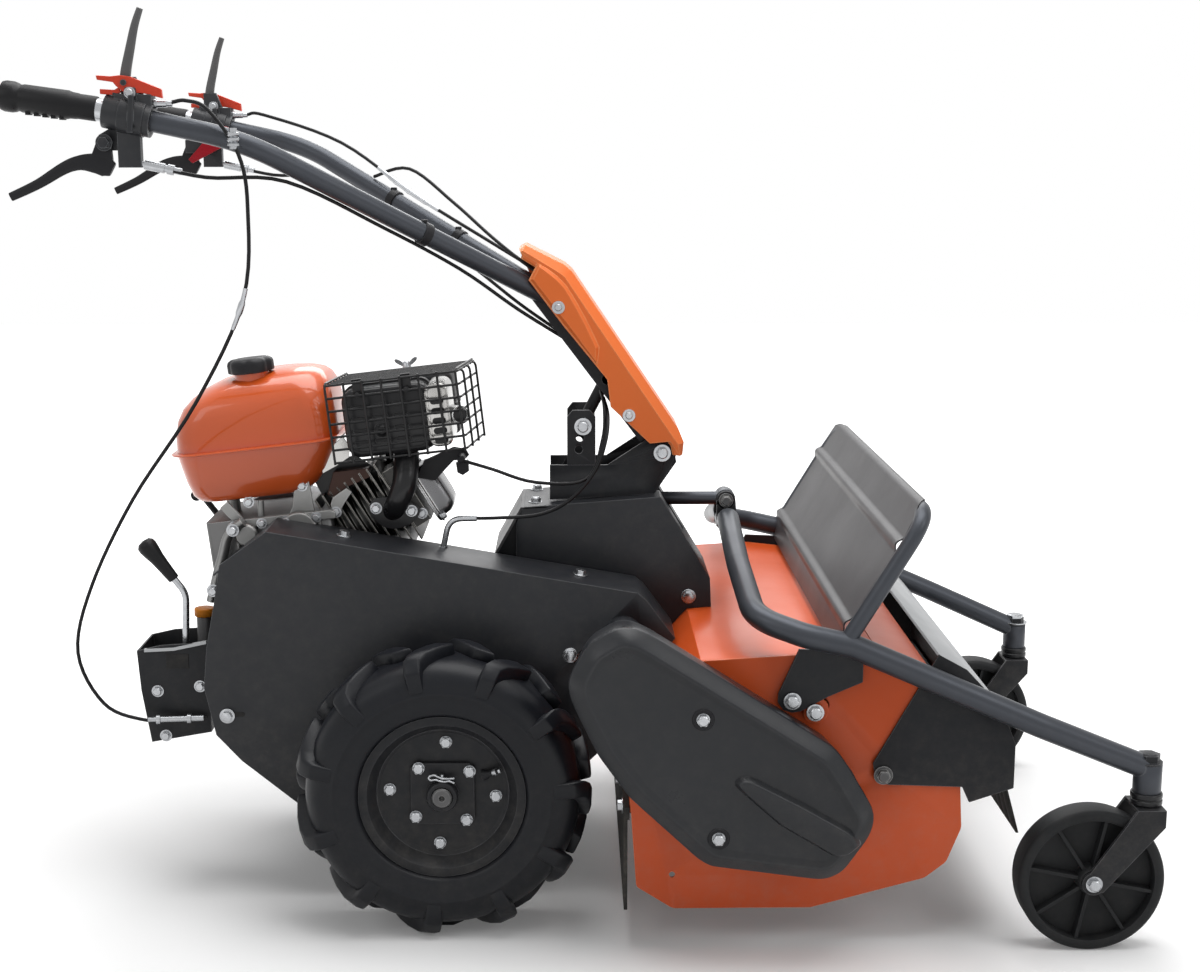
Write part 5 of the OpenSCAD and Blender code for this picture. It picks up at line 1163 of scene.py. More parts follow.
# fuel tank and its cap
tank = {
    "x": (-379, -141), "y": (-92, 104), "seam": (651, 654.5), "lip": 8, "lipCorner": 46,
    # height, then how far the rear, front and sides draw in, then the corner radius
    "levels": [(577, 26, 62, 24, 30), (579.5, 19, 52, 17, 34), (588, 12, 40, 10, 38), (608, 6, 22, 6, 40),
               (634, 2, 8, 2, 40), (650, 0, 0, 0, 40), (656, 0, 0, 0, 40), (680, 2, 0.5, 1.5, 40),
               (700, 7, 1.5, 4, 42), (716, 16, 3, 8, 44), (729, 30, 5, 14, 46), (740, 48, 9, 23, 46),
               (748, 70, 16, 34, 46), (753.5, 96, 28, 48, 42), (756.5, 126, 48, 64, 30)],
    "feet": (-322, -221), "stay": [(-227, 600), (-207, 600), (-200, 553), (-196, 544), (-238, 549),
                                   (-232, 561)],
    "bolts": [(-217, -74, 593), (-296, -74, 569), (-168, -76, 554)],
    "capAt": (-257.6, -33.2, 757.4), "neckFrom": 744, "neck": 26, "capDips": 6, "capDip": 0.085,
    "capFlat": 20,
    "cap": [(29, 0), (33.6, 1.6), (34, 4), (34, 14), (32.5, 18), (28, 21), (16, 21.9), (0.5, 22)],
}


def makeTank():
    x0, x1 = tank["x"]
    y0, y1 = tank["y"]
    bm = bmesh.new()
    loft(bm, [(z, roundedRing(x0 + rear, x1 - front, y0 + side, y1 - side, r))
              for z, rear, front, side, r in tank["levels"]])
    low, high = tank["seam"]
    lip = tank["lip"]
    rim = ((low, 1.4 - lip), (low + 0.8, -lip), (high - 0.8, -lip), (high, 1.4 - lip))
    boxLoft(bm, (x0, y0), (x1, y1), rim, tank["lipCorner"])
    x, y, z = tank["capAt"]
    rod(bm, (x, y, tank["neckFrom"]), (x, y, z + 10), tank["neck"], 40)
    shape("tankShell", leant(bm), "tankPaint", crease=50.0, stands=("fuel_tank",))
    bm = bmesh.new()  # feet and the stays under the seam
    for px in tank["feet"]:
        rod(bm, (px, 6, 540), (px, 6, 584), 10, 24)
        block(bm, px - 20, px + 20, -24, 36, 572, 577)
    leant(bm)
    prism(bm, tank["stay"], -74, -69)
    rod(bm, (-280, -66, 571), (-280, -66, 532), 5, 16)
    rod(bm, (-298, -96, 523), (-298, -60, 523), 17, 32, 3)
    prism(bm, band((-333, 565), (-310, 538), 15), -74, -68)
    shape("tankFeet", bm, "castAlloy", bevel=0.8)
    bolts("tankBolts", facing(tank["bolts"], nearWay), head=6.5, rise=5.5, washer=8.5)
    bm = bmesh.new()
    for v in lathe(bm, tank["cap"], (0, 0, 0), (0, 0, 1), 96, closed=False):
        spoke = math.atan2(v.co.y, v.co.x)
        if math.hypot(v.co.x, v.co.y) > tank["capFlat"]:
            dip = 1 - tank["capDip"] * (0.5 - 0.5 * math.cos(tank["capDips"] * spoke)) ** 4
            v.co.x *= dip
            v.co.y *= dip
    bmesh.ops.translate(bm, vec=tank["capAt"], verts=bm.verts)
    shape("tankCap", leant(bm), "blackPlastic", "fuel_cap", crease=40.0, stands=("fuel_cap",))


makeTank()


# muffler with louvres and its slotted end shield
muffler = {
    "x": (-124, 4), "z": (622, 722), "y": (-104, -16), "shield": (-3, 31), "outlet": (40, -92, 668),
    "seam": ((-62, 0), (-61, -3), (-57, -3), (-56, 0)),
    "louvreRows": 4, "louvreColumns": 3, "plain": (2, 1), "shieldSlots": 5, "slotTop": 693, "slotPitch": 14.4,
    "boss": [(11, 0), (11, 1.5), (7, 3), (5, 6), (0.6, 6.4)],
    "hood": [(11, 0), (13.5, 0), (13.5, 26), (11, 26)],
    "elbow": [(-64, -62, 640), (-64, -86, 600), (-78, -86, 566), (-90, -58, 548)],
    "flange": [(-124, 566), (-100, 580), (-46, 566), (-44, 548), (-70, 528), (-104, 530)],
    "flangeBolts": [(-109, -78, 560), (-57, -78, 556)],
    "sideShield": [(-191, 627), (-175, 649), (-157, 664), (-147, 649), (-149, 633), (-168, 620), (-188, 609)],
    "stay": [(-203, 593), (-191, 621), (-142, 633), (-115, 615), (-131, 593), (-174, 578), (-192, 571)],
    "heatPlate": [(-182, 578), (-172, 612), (-120, 618), (-118, 604), (-150, 590), (-166, 570)],
}


def makeMuffler():
    x0, x1 = muffler["x"]
    z0, z1 = muffler["z"]
    y0, y1 = muffler["y"]
    bm = bmesh.new()
    shell = ((y0, 9), (y0 + 1.5, 4), (y0 + 4.5, 1.2), (y0 + 9, 0), (y1 - 9, 0), (y1 - 2, 3), (y1, 8))
    boxLoft(bm, (x0, z0), (x1, z1), shell, 20, acrossY)
    boxLoft(bm, (x0, z0), (x1, z1), muffler["seam"], 22, acrossY)
    louvre = ((y0 + 1, 12, 3.2), (y0 - 1.6, 11, 2.2), (y0 - 2.2, 9, 1.0))
    for row in range(muffler["louvreRows"]):
        for number in range(muffler["louvreColumns"]):
            x, z = x0 + 24 + 30 * number, z1 - 26 - 17 * row
            if (row, number) != muffler["plain"]:
                loft(bm, [(y, slotRing(x, z, half, r)) for y, half, r in louvre], acrossY)
    lathe(bm, muffler["boss"], (x0 + 54, y0 + 0.5, z1 - 62), nearWay, 28, closed=False)
    shape("mufflerBox", leant(bm), "mufflerBlack", crease=40.0, stands=("muffler",))
    bm = bmesh.new()  # exhaust elbow down to its flange on the cylinder
    path = fillet(muffler["elbow"], 50, 8)
    sweep(bm, path, [19 - 3 * k / (len(path) - 1) for k in range(len(path))], 28)
    prism(bm, softened(muffler["flange"]), -78, -70)
    shape("exhaustElbow", bm, "mufflerBlack", bevel=0.8, crease=40.0)
    bolts("exhaustBolts", facing(muffler["flangeBolts"], nearWay), head=7, rise=7, washer=9)
    s0, s1 = muffler["shield"]
    bm = bmesh.new()
    shell = ((y0 - 3.5, 5), (y0 - 3, 2.5), (y0 - 1, 0.4), (y0 + 3, 0), (y1 - 4, 0), (y1 - 2, 2))
    boxLoft(bm, (s0, z0 + 4), (s1, z1 - 4), shell, 12, acrossY)
    shape("mufflerShield", leant(bm), "chrome", crease=40.0)
    bm = bmesh.new()
    for row in range(muffler["shieldSlots"]):
        z = muffler["slotTop"] - muffler["slotPitch"] * row
        loft(bm, [(y, slotRing(s0 + 17, z, half, r)) for y, half,
                  r in ((y0 - 3, 9.4, 4.4), (y0 - 3.9, 10, 4.8))],
             acrossY)
    x, y, z = muffler["outlet"]
    rod(bm, (x - 5, y + 9, z), (x + 4, y - 6, z), 11.4, 32)
    shape("mufflerSlots", leant(bm), "wireBlack", bevel=0.3)
    bm = bmesh.new()
    lathe(bm, muffler["hood"], (x - 9, y + 16, z), (0.51, -0.86, 0), 36)
    shape("outletHood", leant(bm), "polishedDark", bevel=0.4)
    plate("sideShield", "chrome", muffler["sideShield"], -62, -59)
    plate("mufflerStay", "mufflerBlack", muffler["stay"], -42, -38)
    plate("heatPlate", "heatBrown", muffler["heatPlate"], -66, -20, 1.2)


makeMuffler()


# wire guard round the muffler; its outline is sheared a little across
cage = {"x": (-140, 64), "z": (622, 734), "y": (-122, -8), "rows": 6, "columns": 7, "tops": 8, "radius": 1.8,
        "shrink": 0.92, "shear": 0.15, "corner": 9, "tabs": (-96, -26)}


def makeCage():
    x0, x1 = cage["x"]
    z0, z1 = cage["z"]
    y0, y1 = cage["y"]
    runs = []
    for i in range(cage["rows"] + 1):
        z = z0 + (z1 - z0) * i / cage["rows"]
        runs.append([(x0, y0, z), (x1 + 2, y0, z), (x1 + 2, y1, z)])
    for i in range(cage["columns"] + 1):
        x = x0 + (x1 - x0) * i / cage["columns"]
        over = [(x, y1, z1 + 3)] if i in (0, cage["columns"]) else []
        runs.append([(x, y0 - 3, z0 - 2), (x, y0 - 3, z1 + 3)] + over)
    for i in range(1, cage["tops"] + 1):
        y = y0 + (y1 - y0) * i / cage["tops"]
        runs.append([(x0, y, z1), (x1 + 5, y, z1)] + ([(x1 + 5, y, z0 - 2)] if i % 3 == 2 else []))
    points, edges = [], []
    for run in runs:
        first = len(points)
        for p in fillet(run, cage["corner"], 5):
            x = x0 + (p.x - x0) * cage["shrink"] + (p.y - y0) * cage["shear"]
            points.append(at(*(lean @ Vector((x, p.y, p.z)))))
        edges += [(k, k + 1) for k in range(first, len(points) - 1)]
    mesh = bpy.data.meshes.new("cageWires")
    mesh.from_pydata(points, edges, [])
    obj = addObject("cageWires", mesh)
    grow(obj, wireTree, {"Radius": cage["radius"] * mm, "Sides": 10, "Material": skin["wireBlack"]})
    settle(obj, "chassis", crease=60.0, stands=("muffler_guard",))
    bm = bmesh.new()
    for x in cage["tabs"]:
        block(bm, x - 7, x + 7, -112, -108, 712, 738)
        rod(bm, (x, -123, 716), (x, -100, 716), 4, 16)
    shape("cageTabs", leant(bm), "wireBlack", bevel=0.5)


makeCage()


# air filter and its wing nut
airFilter = {"x": (-112, 34), "y": (2, 98), "z": (626, 724), "nutAt": (-39, 50, 724), "ribs": 5,
             "nut": [(11, 0), (11, 2), (7, 3), (6, 10), (4, 13), (0.6, 13)],
             "wing": [(3, 6), (16, 14), (18, 20), (12, 20), (4, 13)]}


def makeFilter():
    x0, x1 = airFilter["x"]
    y0, y1 = airFilter["y"]
    z0, z1 = airFilter["z"]
    bm = bmesh.new()
    levels = ((z0, 4), (z0 + 4, 1), (z0 + 40, 1), (z0 + 41, 0), (z0 + 46, 0), (z0 + 47, 2), (z1 - 14, 4),
              (z1 - 6, 7),
              (z1 - 1.5, 13), (z1, 20))
    boxLoft(bm, (x0, y0), (x1, y1), levels, 18)
    rod(bm, (-74, 30, 584), (-74, 30, z0 + 2), 13, 28)
    for k in range(airFilter["ribs"]):
        x = x0 + 30 + 22 * k
        block(bm, x, x + 4, y0 + 16, y1 - 16, z1 - 2, z1 + 2)
    shape("airBox", leant(bm), "blackPlastic", crease=40.0, stands=("air_filter",))
    bm = bmesh.new()
    x, y, z = airFilter["nutAt"]
    lathe(bm, airFilter["nut"], (x, y, z + 2), (0, 0, 1), 24, closed=False)
    for way in (-1, 1):
        prism(bm, softened([(x + way * u, z + v) for u, v in airFilter["wing"]]), y - 2, y + 2)
    shape("wingNut", leant(bm), "zinc", bevel=0.4)


makeFilter()


# valve cover, crankcase flange, plug lead and shroud; the head's own frame has its height along the cylinder
head = lean @ Matrix.Translation((-160, 0, 484)) @ Matrix.Rotation(math.radians(65), 4, "Y")
topEnd = {
    "lid": ((144, -3), (145, -4), (149, -4), (150, -3), (150.5, 0), (166, 2), (173, 6), (177, 12), (178, 18)),
    "lidHalf": 42, "lidBolt": 39, "headBolts": [(-20, -59, 131), (18, -59, 131), (0, -66, 96), (40, -66, 40)],
    "ear": [(-176, 566), (-172, 576), (-152, 590), (-144, 584), (-156, 566), (-164, 550), (-172, 548)],
    "flange": [(-326, 528), (-326, 538), (-318, 543), (-250, 551), (-176, 559), (-168, 556), (-168, 546),
               (-250, 539)],
    "flangeFrom": -312, "flangeSlope": 0.11, "flangeBolts": (-316, -276, -240,
                                                             -196), "ribs": 7, "ribPitch": 20,
    "boss": [(12, 0), (26, 0), (28, 2), (28, 9), (24, 11), (12, 11)],
    "plug": (20, 48, 150), "lead": [(0, 0, 0), (10, 0, 18), (-30, 12, 46), (-90, 10, 20)],
    "arm": [(-50, 600), (-40, 626), (4, 646), (22, 643), (27, 634), (20, 627), (4, 626), (-24, 596)],
    "armTip": [(8, 624), (26, 628), (27, 612), (18, 606), (10, 610)],
    "grille": 22, "grilleReach": (58, 98), "starterDepth": 12,
}


def makeHead():
    half, corner = topEnd["lidHalf"], topEnd["lidBolt"]
    bm = bmesh.new()
    boxLoft(bm, (-half, -half), (half, half), topEnd["lid"], 14, matrix=head)
    shape("valveLid", bm, "polishedDark", crease=35.0, stands=("valve_cover",))
    places = facing([(u, v, 150) for u in (-corner, corner) for v in (-corner, corner)], (0, 0, 1))
    places += facing(topEnd["headBolts"], nearWay)
    turn = head.to_3x3()
    places = [(tuple(head @ Vector(p)), tuple(turn @ Vector(aim))) for p, aim in places]
    bolts("headBolts", places, head=6.5, rise=6, washer=8.5)
    plate("liftEar", "castAlloy", topEnd["ear"], -76, -71, 0.8)


def flangeZ(x, level):
    return level + topEnd["flangeSlope"] * (x - topEnd["flangeFrom"])


def makeCase():
    y = -engine["half"]
    bm = bmesh.new()
    prism(bm, topEnd["flange"], y - 7, y + 2)
    for k in range(topEnd["ribs"]):
        x = topEnd["flangeFrom"] + topEnd["ribPitch"] * k
        block(bm, x - 2.4, x + 2.4, y - 5, y + 2, 488, flangeZ(x, 536))
    lathe(bm, topEnd["boss"], (-222, y - 10, 528), (0, 1, 0), 32)
    shape("caseFlange", bm, "castAlloy", bevel=1.4, crease=40.0)
    places = facing([(x, y - 7, flangeZ(x, 535.5)) for x in topEnd["flangeBolts"]], nearWay)
    bolts("caseCoverBolts", places, head=6, rise=5, washer=8)


def makePlug():
    tip = head @ Vector(topEnd["plug"])
    bm = bmesh.new()
    sweep(bm, fillet([tip + Vector(p) for p in topEnd["lead"]], 22, 6), 3.4, 12)
    rod(bm, tip, tip + Vector((7, 0, 14)), 8, 20, 1.5)
    prism(bm, topEnd["arm"], -50, -44)
    rod(bm, (17, -86, 633), (17, -44, 633), 5.5, 16, 1)
    prism(bm, topEnd["armTip"], -62, -50)
    shape("plugLead", bm, "blackPlastic", crease=50.0)


def makeShroud():
    # grille ribs on the flat behind the starter cover
    shroud = nodes["fan_shroud"]
    dress("fan_shroud", "greyPlastic", 3.0)
    outermost = max(round(((shroud.matrix_world @ v.co).y - offset.y) / mm, 1) for v in shroud.data.vertices)
    low, high = topEnd["grilleReach"]
    bm = bmesh.new()
    block(bm, -3, 3, 0, 6, low, high)
    obj = bare("shroudRibs", bm)
    x, z = engine["crank"][0], engine["crank"][2]
    grow(obj, ringTree, {"Count": topEnd["grille"], "Phase": 0.0, "Material": skin["greyPlastic"],
                         "Centre": at(x, outermost - topEnd["starterDepth"] - 3, z)})
    settle(obj, "chassis", bevel=1.0)


makeHead()
makeCase()
makePlug()
makeShroud()
print("engine")


# column cover: folded sheet with a raised pressing on each side
column = {
    "half": 60, "sheet": 3, "folds": (4, 8, 13, 13, 13, 9, 4), "slope": 14, "raise": 5, "overlap": 9,
    "ridge": [(103, 937), (112, 942), (168, 914), (180, 904), (336, 673), (345, 652), (343, 633)],
    "tail": [(324, 655), (294, 652), (236, 707), (231, 747), (166, 827), (117, 892)],
    "notch": (130, 917), "plainCorner": (106, 918),
    "pressing": [(119, 893), (132, 916), (146, 908), (161, 896), (173, 883), (188, 858), (201, 834),
                 (211, 813),
                 (219, 795), (216, 769), (167, 829)],
    "pressingBolt": (160, 853), "sheetBolt": (263, 694),
}


def shrunk(outline, depth):
    # every corner of a closed outline moved inward by the same depth
    points = [Vector(p) for p in outline]
    count = len(points)
    area = sum(points[k - 1].x * points[k].y - points[k].x * points[k - 1].y for k in range(count))
    moved = []
    for k in range(count):
        a = (points[k] - points[k - 1]).normalized()
        b = (points[(k + 1) % count] - points[k]).normalized()
        normal = Vector((-a.y - b.y, a.x + b.x)).normalized() * (1 if area > 0 else -1)
        moved.append(tuple(points[k] + normal * depth))
    return moved


def makeColumn():
    half, sheet, slope, high = column["half"], column["sheet"], column["slope"], column["raise"]
    ridge = [Vector(p) for p in column["ridge"]]
    last = len(ridge) - 1
    inward = []
    for k in range(last + 1):
        along = ridge[min(k + 1, last)] - ridge[max(k - 1, 0)]
        inward.append(Vector((along.y, -along.x)).normalized())
    folds = [tuple(p + way * fold) for p, way, fold in zip(ridge, inward, column["folds"])]
    bm = bmesh.new()
    for side, corner in ((-1, column["notch"]), (1, column["plainCorner"])):
        prism(bm, folds + column["tail"] + [corner], side * half, side * (half - sheet))
        rings = [(side * (half - 2), column["pressing"]), (side * half, column["pressing"]),
                 (side * (half + high), shrunk(column["pressing"], 5))]
        loft(bm, rings, acrossY)
    levels = []
    for k, fold in enumerate(column["folds"]):
        lap = fold + column["overlap"]
        near = [(lap, 1.2 - half), (fold, -half - 0.3), (0, slope - half)]
        outer = near + [(u, -v) for u, v in reversed(near)]
        levels.append((k, outer + [(u + sheet, v * 0.95) for u, v in reversed(outer)]))
    loft(bm, levels, lambda u, v, k: (ridge[k].x + inward[k].x * u, v, ridge[k].y + inward[k].y * u))
    shape("columnCover", bm, "coverPaint", "handlebar", bevel=1.6, segments=3, crease=20.0,
          stands=("column_cover",))
    places = []
    for (x, z), out in ((column["pressingBolt"], half + high), (column["sheetBolt"], half)):
        places += [((x, side * out, z), (0, side, 0)) for side in (-1, 1)]
    bolts("columnBolts", places, "handlebar", head=6, rise=4, washer=9.5)


makeColumn()


# belt cover: moulded shell with broad soft edges, a sunk panel and a wedge
belt = {
    "face": -436, "back": -352, "drop": -7,
    "outline": [(171, 405), (176, 380), (211, 306), (253, 247), (344, 161), (360, 151), (512, 130),
                (536, 141),
                (571, 192), (577, 214), (575, 229), (539, 290), (522, 314), (267, 476), (240, 480), (196,
                                                                                                     454)],
    "wedge": [(388, 262), (396, 272), (412, 272), (480, 236), (545, 198), (557, 178), (540, 164), (524, 161),
              (450, 206)],
    "ring": [(9, 3), (10, -1.2), (13.5, -1.2), (15, 0.4), (15, 3)],
    "bolts": [(348, 350), (370, 187)],
}


def makeBelt():
    face, back = belt["face"], belt["back"]
    bm = bmesh.new()
    # depth, how far the outline draws in there, rounds of softening
    levels = [(face + 24, 12, 4), (back + 2, 11, 4), (back, 10, 4), (back, 8, 4), (face + 18, 0, 4),
              (face + 15.4, 0.4, 4), (face + 13.6, 1.6, 3), (face + 1.6, 17, 2), (face + 0.5, 18.8, 2),
              (face, 20.6, 2), (face + 0.2, 22, 2), (face + 3.4, 29, 2), (face + 4, 32, 2)]
    loft(bm, [(y, inset(belt["outline"], d, 240, turns)) for y, d, turns in levels], acrossY,
         Matrix.Translation((0, 0, belt["drop"])))
    shape("beltShell", bm, "coverPlastic", crease=45.0, stands=("belt_cover",))
    bm = bmesh.new()
    levels = ((face + 6, -2), (face + 3, 0), (face - 5, 3.2), (face - 6.6, 4.6), (face - 7, 7))
    loft(bm, [(y, inset(belt["wedge"], d, 160, 1)) for y, d in levels], acrossY)
    shape("beltWedge", bm, "coverPlastic", crease=45.0)
    bm = bmesh.new()
    for x, z in belt["bolts"]:
        lathe(bm, belt["ring"], (x, face + 3.4, z), (0, 1, 0), 36)
        rod(bm, (x, face + 4, z), (x, face + 5, z), 12, 36)
    rod(bm, (406, face - 3, 254), (409, face + 4, 252), 6, 20)
    shape("beltBosses", bm, "blackPlastic", crease=40.0)
    places = facing([(x, face + 3.8, z) for x, z in belt["bolts"]], nearWay)
    bolts("beltBolts", places, head=8.2, rise=7.4, washer=9)


makeBelt()
print("covers")


# front frame: bent legs, caster sleeves, gussets and clevis
legs = {
    "radius": 16.5, "curve": 70, "stem": (957, 357), "stemZ": (216, 262), "clevis": (411,
            559), "clevisY": (15, 21),
    "path": [(952, 357, 256), (805, 376, 320), (548, 376, 432), (486, 376, 446), (422, 346, 463),
             (414, 188, 500),
             (413, 34, 534)],
    "gusset": [(480, 424), (453, 362), (453, 350), (460, 340), (472, 336), (484, 338), (520, 358), (566, 378),
               (566, 420)], "gussetY": (358, 363), "gussetBolts": [(472, 353), (503, 337)],
    # welded tabs of the deck behind the second bolt
    "tab": [(488, 348), (502, 358), (522, 350), (522, 328), (506, 318), (488, 324)], "tabY": (351, 357.6),
}


def makeLegs():
    bm = bmesh.new()
    x, y = legs["stem"]
    z0, z1 = legs["stemZ"]
    tall = z1 - z0
    sleeve = [(19, 0.8), (18.2, 0), (11.6, 0), (11.6, tall), (18.2, tall), (19, tall - 0.8)]
    for side in (-1, 1):
        route = [(px, side * py, pz) for px, py, pz in legs["path"]]
        sweep(bm, fillet(route, legs["curve"], 8), legs["radius"], 28)
        lathe(bm, sleeve, (x, side * y, z0), (0, 0, 1), 36)
    sweep(bm, [(413, -36, 526), (413, 36, 526)], 16, 28)
    shape("frameTubes", bm, "tubePaint", "front_frame", crease=50.0, stands=("front_frame",))
    bm = bmesh.new()
    cx, cz = legs["clevis"]
    for side in (-1, 1):
        prism(bm, legs["gusset"], *sorted(side * out for out in legs["gussetY"]))
        inner, outer = sorted(side * out for out in legs["clevisY"])
        crossRod(bm, legs["clevis"], inner, outer, 14, 32)
        prism(bm, [(cx - 14, cz), (cx + 14, cz), (429, 518), (397, 518)], inner, outer)
    crossRod(bm, legs["clevis"], -24, 24, 6, 20)
    shape("frameLugs", bm, "blackSteel", "front_frame", bevel=0.8)
    places = [((cx, side * legs["clevisY"][1], cz), (0, side, 0)) for side in (-1, 1)]
    bolts("frameBolts", places, "front_frame", finish="castDark")
    places = [((gx, side * 365.3, gz), (0, side, 0)) for gx, gz in legs["gussetBolts"] for side in (-1, 1)]
    bolts("gussetBolts", places, head=9.4, rise=7, washer=12)
    bm = bmesh.new()
    for side in (-1, 1):
        prism(bm, softened(legs["tab"]), *sorted(side * out for out in legs["tabY"]))
    shape("deckTabs", bm, "orangePaint", bevel=1.0)


makeLegs()


# front panel: hoop and a sheet with two half-round ridges along its length
panel = {"foot": (542, 440), "angle": 59, "height": 195, "half": 376, "hoop": 11, "corner": 46,
         "ribs": (16, 142),
         "ribHalf": 13, "ribRise": 2.8, "lip": (-25, -1), "thick": 2.4, "roundFrom": 33.5}


def makePanel():
    fx, fz = panel["foot"]
    place = Matrix.Translation((fx, 0, fz)) @ Matrix.Rotation(math.radians(-panel["angle"]), 4, "Y")
    h, half, corner = panel["height"], panel["half"], panel["corner"]
    bm = bmesh.new()
    hoop = fillet([(-8, -half, 0), (h, -half, 0), (h, half, 0), (-8, half, 0)], corner, 10)
    sweep(bm, [place @ p for p in hoop], panel["hoop"], 24)
    shape("panelHoop", bm, "tubePaint", "front_frame", crease=60.0, stands=("front_panel",))
    outline = [panel["lip"]]
    for rib in panel["ribs"]:
        outline += [(rib + panel["ribHalf"] * k / 8, 9 + panel["ribRise"] * (1 + math.cos(math.pi * k / 8)))
                    for k in range(-8, 9)]
    outline += [(h - 8, 10), (h + 2, 11.5), (h + 9, 8), (h + 12.5, 1)]
    back = [(u, v - panel["thick"]) for u, v in reversed(outline)]
    bm = bmesh.new()
    verts = prism(bm, outline + back, -half + 9, half + 9)
    for v in verts:  # round top corners
        over = max(v.co.x - h + panel["roundFrom"], 0)
        cut = corner - math.sqrt(max(corner ** 2 - over ** 2, 0))
        v.co.y += -cut if v.co.y > 0 else cut
    bmesh.ops.transform(bm, matrix=place, verts=verts)
    shape("panelSheet", bm, "panelPaint", "front_frame", crease=40.0)


makePanel()


# casters
caster = {
    "axle": (883, 357, 100), "ribs": 8, "ribTurn": 0.2, "collarZ": 204.2, "nutZ": 266,
    "tyre": [(85, -17), (86, -20), (90, -22), (96, -21.6), (99, -19), (100, -14)],
    "hub": [(6.4, -24.3), (17, -24.3), (18.5, -22), (20, -4)],
    "collar": [(11, 0), (20, 0), (21.6, 1.6), (21.6, 7), (20, 8.4), (20, 9.4), (21.6, 10.8), (21.6, 15),
               (20.4, 17),
               (19.4, 17), (11, 17)],
}


def makeCaster(side, label):
    x, y, z = caster["axle"]
    y = side * y
    body, fork = "caster_wheel_" + label, "caster_" + label
    bm = bmesh.new()
    lathe(bm, bothEnds(caster["tyre"]), (x, y, z), steps=96)
    shape("casterTyre" + label, bm, "wheelPlastic", body, crease=40.0, stands=(body,))
    bm = bmesh.new()
    lathe(bm, [(17, -4), (86, -4), (86, 4), (17, 4)], (x, y, z), steps=72)
    lathe(bm, bothEnds(caster["hub"]), (x, y, z), steps=48)
    shape("casterDisc" + label, bm, "wheelPlastic", body, bevel=0.6)
    bm = bmesh.new()
    block(bm, -2.4, 2.4, -17, 17, 16, 87)
    obj = bare("casterRibs" + label, bm)
    grow(obj, ringTree, {"Count": caster["ribs"], "Phase": caster["ribTurn"],
                         "Material": skin["wheelPlastic"],
                         "Centre": at(x, y, z)})
    settle(obj, body, bevel=0.7)
    stem = legs["stem"][0]
    bm = bmesh.new()  # bearing collar under the sleeve
    lathe(bm, caster["collar"], (stem, y, caster["collarZ"]), (0, 0, 1), 48)
    shape("casterCollar" + label, bm, "mufflerBlack", fork, bevel=0.4)
    places = [((x, y + way * 30.4, z), (0, way, 0)) for way in (-1, 1)]
    bolts("casterBolts" + label, places, fork, head=8.8, rise=7, washer=11.5)
    if side > 0:
        places = [((stem, y, caster["nutZ"]), (0, 0, 1))]
        bolts("casterNut" + label, places, fork, head=15, rise=13, washer=21)


for casterSide, casterLabel in sides:
    makeCaster(casterSide, casterLabel)
print("front frame and casters")


# guard: dark cheeks, pale sloping sheet
guard = {"paleTilt": 0.4, "paleAbove": 0.335, "paleHalf": 0.353, "bolt": (598, 358.2, 246)}


def makeGuard():
    obj = dress("front_guard", "guardPaint", 1.0)
    obj.data.materials.append(skin["plateGrey"])
    for polygon in obj.data.polygons:
        inside = abs(polygon.center.y - offset.y) < guard["paleHalf"]
        if polygon.normal.z > guard["paleTilt"] and polygon.center.z > guard["paleAbove"] and inside:
            polygon.material_index = 1
    x, y, z = guard["bolt"]
    places = [((x, side * y, z), (0, side, 0)) for side in (-1, 1)]
    bolts("guardBolts", places, "front_guard", head=9, rise=7, washer=13, finish="castDark")


makeGuard()


# shift lever and knob, the cable's threaded end, the console's edge, window and slot, the gear case's rim
shift = {
    "rod": [(-392, -108, 300), (-386, -108, 440), (-440, -108, 512)],
    "knobFrom": (-402, -108, 461), "knobWay": (-54, 0, 72),
    "knob": [(6, 0), (8, 0.8), (8.6, 10), (9.6, 26), (10.8, 40), (13, 52), (14, 60), (13.4, 66), (9, 70.5),
             (0.5, 72)],
    "thread": [(0.6, 0), (3.4, 0), (3.4, 12), (7, 12), (7, 18), (4.4, 18), (4.4, 56), (7, 56), (7, 62),
               (4.4, 62),
               (4.4, 80), (0.6, 80)], "threadFrom": (-440, -149, 261),
    "edge": [(-445, 363), (-402, 365), (-354, 375)],
    "rim": [(-301, 544), (-315, 533), (-325, 520), (-332, 495), (-341, 466), (-347, 443), (-352, 425)],
    "rimBolts": [(-315, -104, 533), (-347, -104, 443)],
    "consoleBolts": [(-428, -132, 299), (-419, -132, 231), (-366, -132, 306)],
}


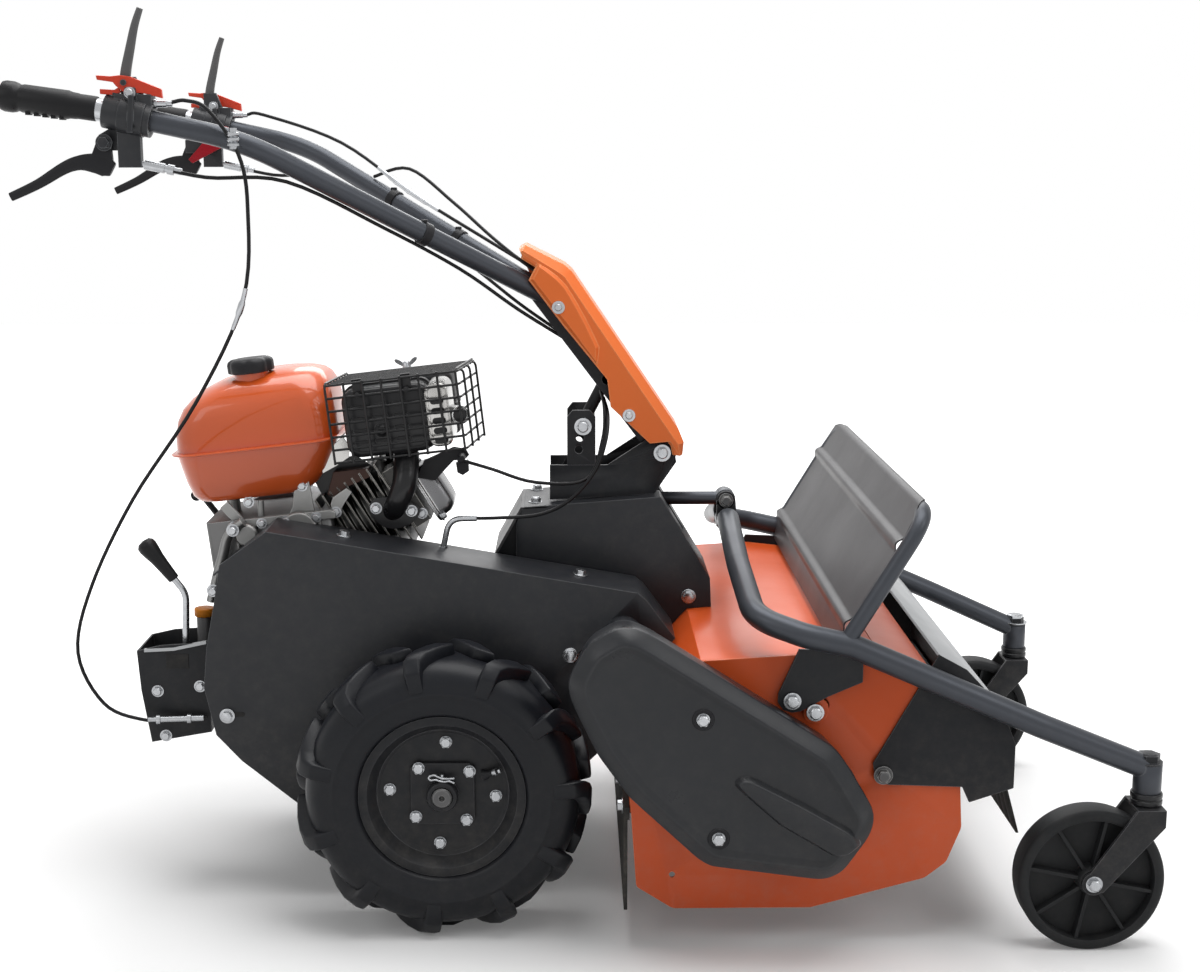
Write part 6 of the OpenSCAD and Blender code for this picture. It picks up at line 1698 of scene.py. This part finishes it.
def makeShift():
    bm = bmesh.new()
    sweep(bm, fillet(shift["rod"], 34, 10), 5, 18)
    rod(bm, (-392, -116, 300), (-392, -100, 300), 11, 24, 1)
    shape("shiftRod", bm, "zinc", "shift_lever", crease=50.0, stands=("shift_lever",))
    bm = bmesh.new()
    lathe(bm, shift["knob"], shift["knobFrom"], Vector(shift["knobWay"]).normalized(), 32, closed=False)
    shape("shiftKnob", bm, "gripRubber", "shift_lever", crease=50.0)
    bm = bmesh.new()
    lathe(bm, shift["thread"], shift["threadFrom"], (1, 0.08, 0), 18, closed=False)
    shape("shiftThread", bm, "zinc", bevel=0.4)
    bm = bmesh.new()
    prism(bm, shift["edge"] + [(x, z - 5) for x, z in reversed(shift["edge"])], -133.6, -128)
    shape("consoleEdge", bm, "plateGrey", bevel=0.6)
    bm = bmesh.new()
    block(bm, -414, -381, -132.8, -131, 333, 355)
    loft(bm, [(y, slotRing(-301, 280, 9, 3.4)) for y in (-184, -185.6)], acrossY)
    shape("consoleWindow", bm, "flapRubber", bevel=0.4)
    bm = bmesh.new()
    sweep(bm, spline([(x, -96, z) for x, z in shift["rim"]], 5), 9, 16, 0.8)
    shape("caseRim", bm, "castAlloy", crease=50.0)
    bolts("caseBolts", facing(shift["rimBolts"], nearWay), head=7, rise=7, washer=9.5)
    bolts("consoleBolts", facing(shift["consoleBolts"], nearWay), head=7, rise=5, washer=9)


makeShift()


# hardware over the drawn heads, and the fittings on the cables
hardware = {
    "bracketY": 47.7,
    # adjusters: cable, where along it they begin and end, radius
    "adjusters": (("shiftLoop", 0.4186, 0.4525, 4.6), ("bladeLeft", 0.5, 0.62, 4.2)), "adjusterEnd": 3.2,
    "tube": [(40, -105, 550), (0, -103, 549), (-10, -100, 503)],
    "tubeNut": [(0.6, 0), (6.5, 0), (6.5, 7), (0.6, 7)],
}


def makeHardware():
    places = []
    for side in (-1, 1):
        places += [((x, side * hardware["bracketY"], z), (0, side, 0)) for x,
                   z in (bar["pivot"], bar["stop"])]
    bolts("bracketBolts", places, head=9.2, rise=7, washer=13)
    bm = bmesh.new()
    for name, first, last, r in hardware["adjusters"]:
        path = spline(cables["routes"][name], 24)
        part = path[int(first * len(path)):int(last * len(path))]
        sizes = [r if 3 < k < len(part) - 4 else hardware["adjusterEnd"] for k in range(len(part))]
        for k in range(6, len(part) - 6, 4):
            sizes[k] = r * 1.18
        sweep(bm, part, sizes, 14)
    shape("cableAdjusters", bm, "zinc", "handlebar", crease=50.0)
    bm = bmesh.new()  # bent tube the brake line leaves
    sweep(bm, fillet(hardware["tube"], 30, 8), 4.4, 16)
    lathe(bm, hardware["tubeNut"], (-10, -100, 500), (0, 0, 1), 6, closed=False)
    shape("brakeTube", bm, "zinc", crease=50.0)


makeHardware()
print("hardware")
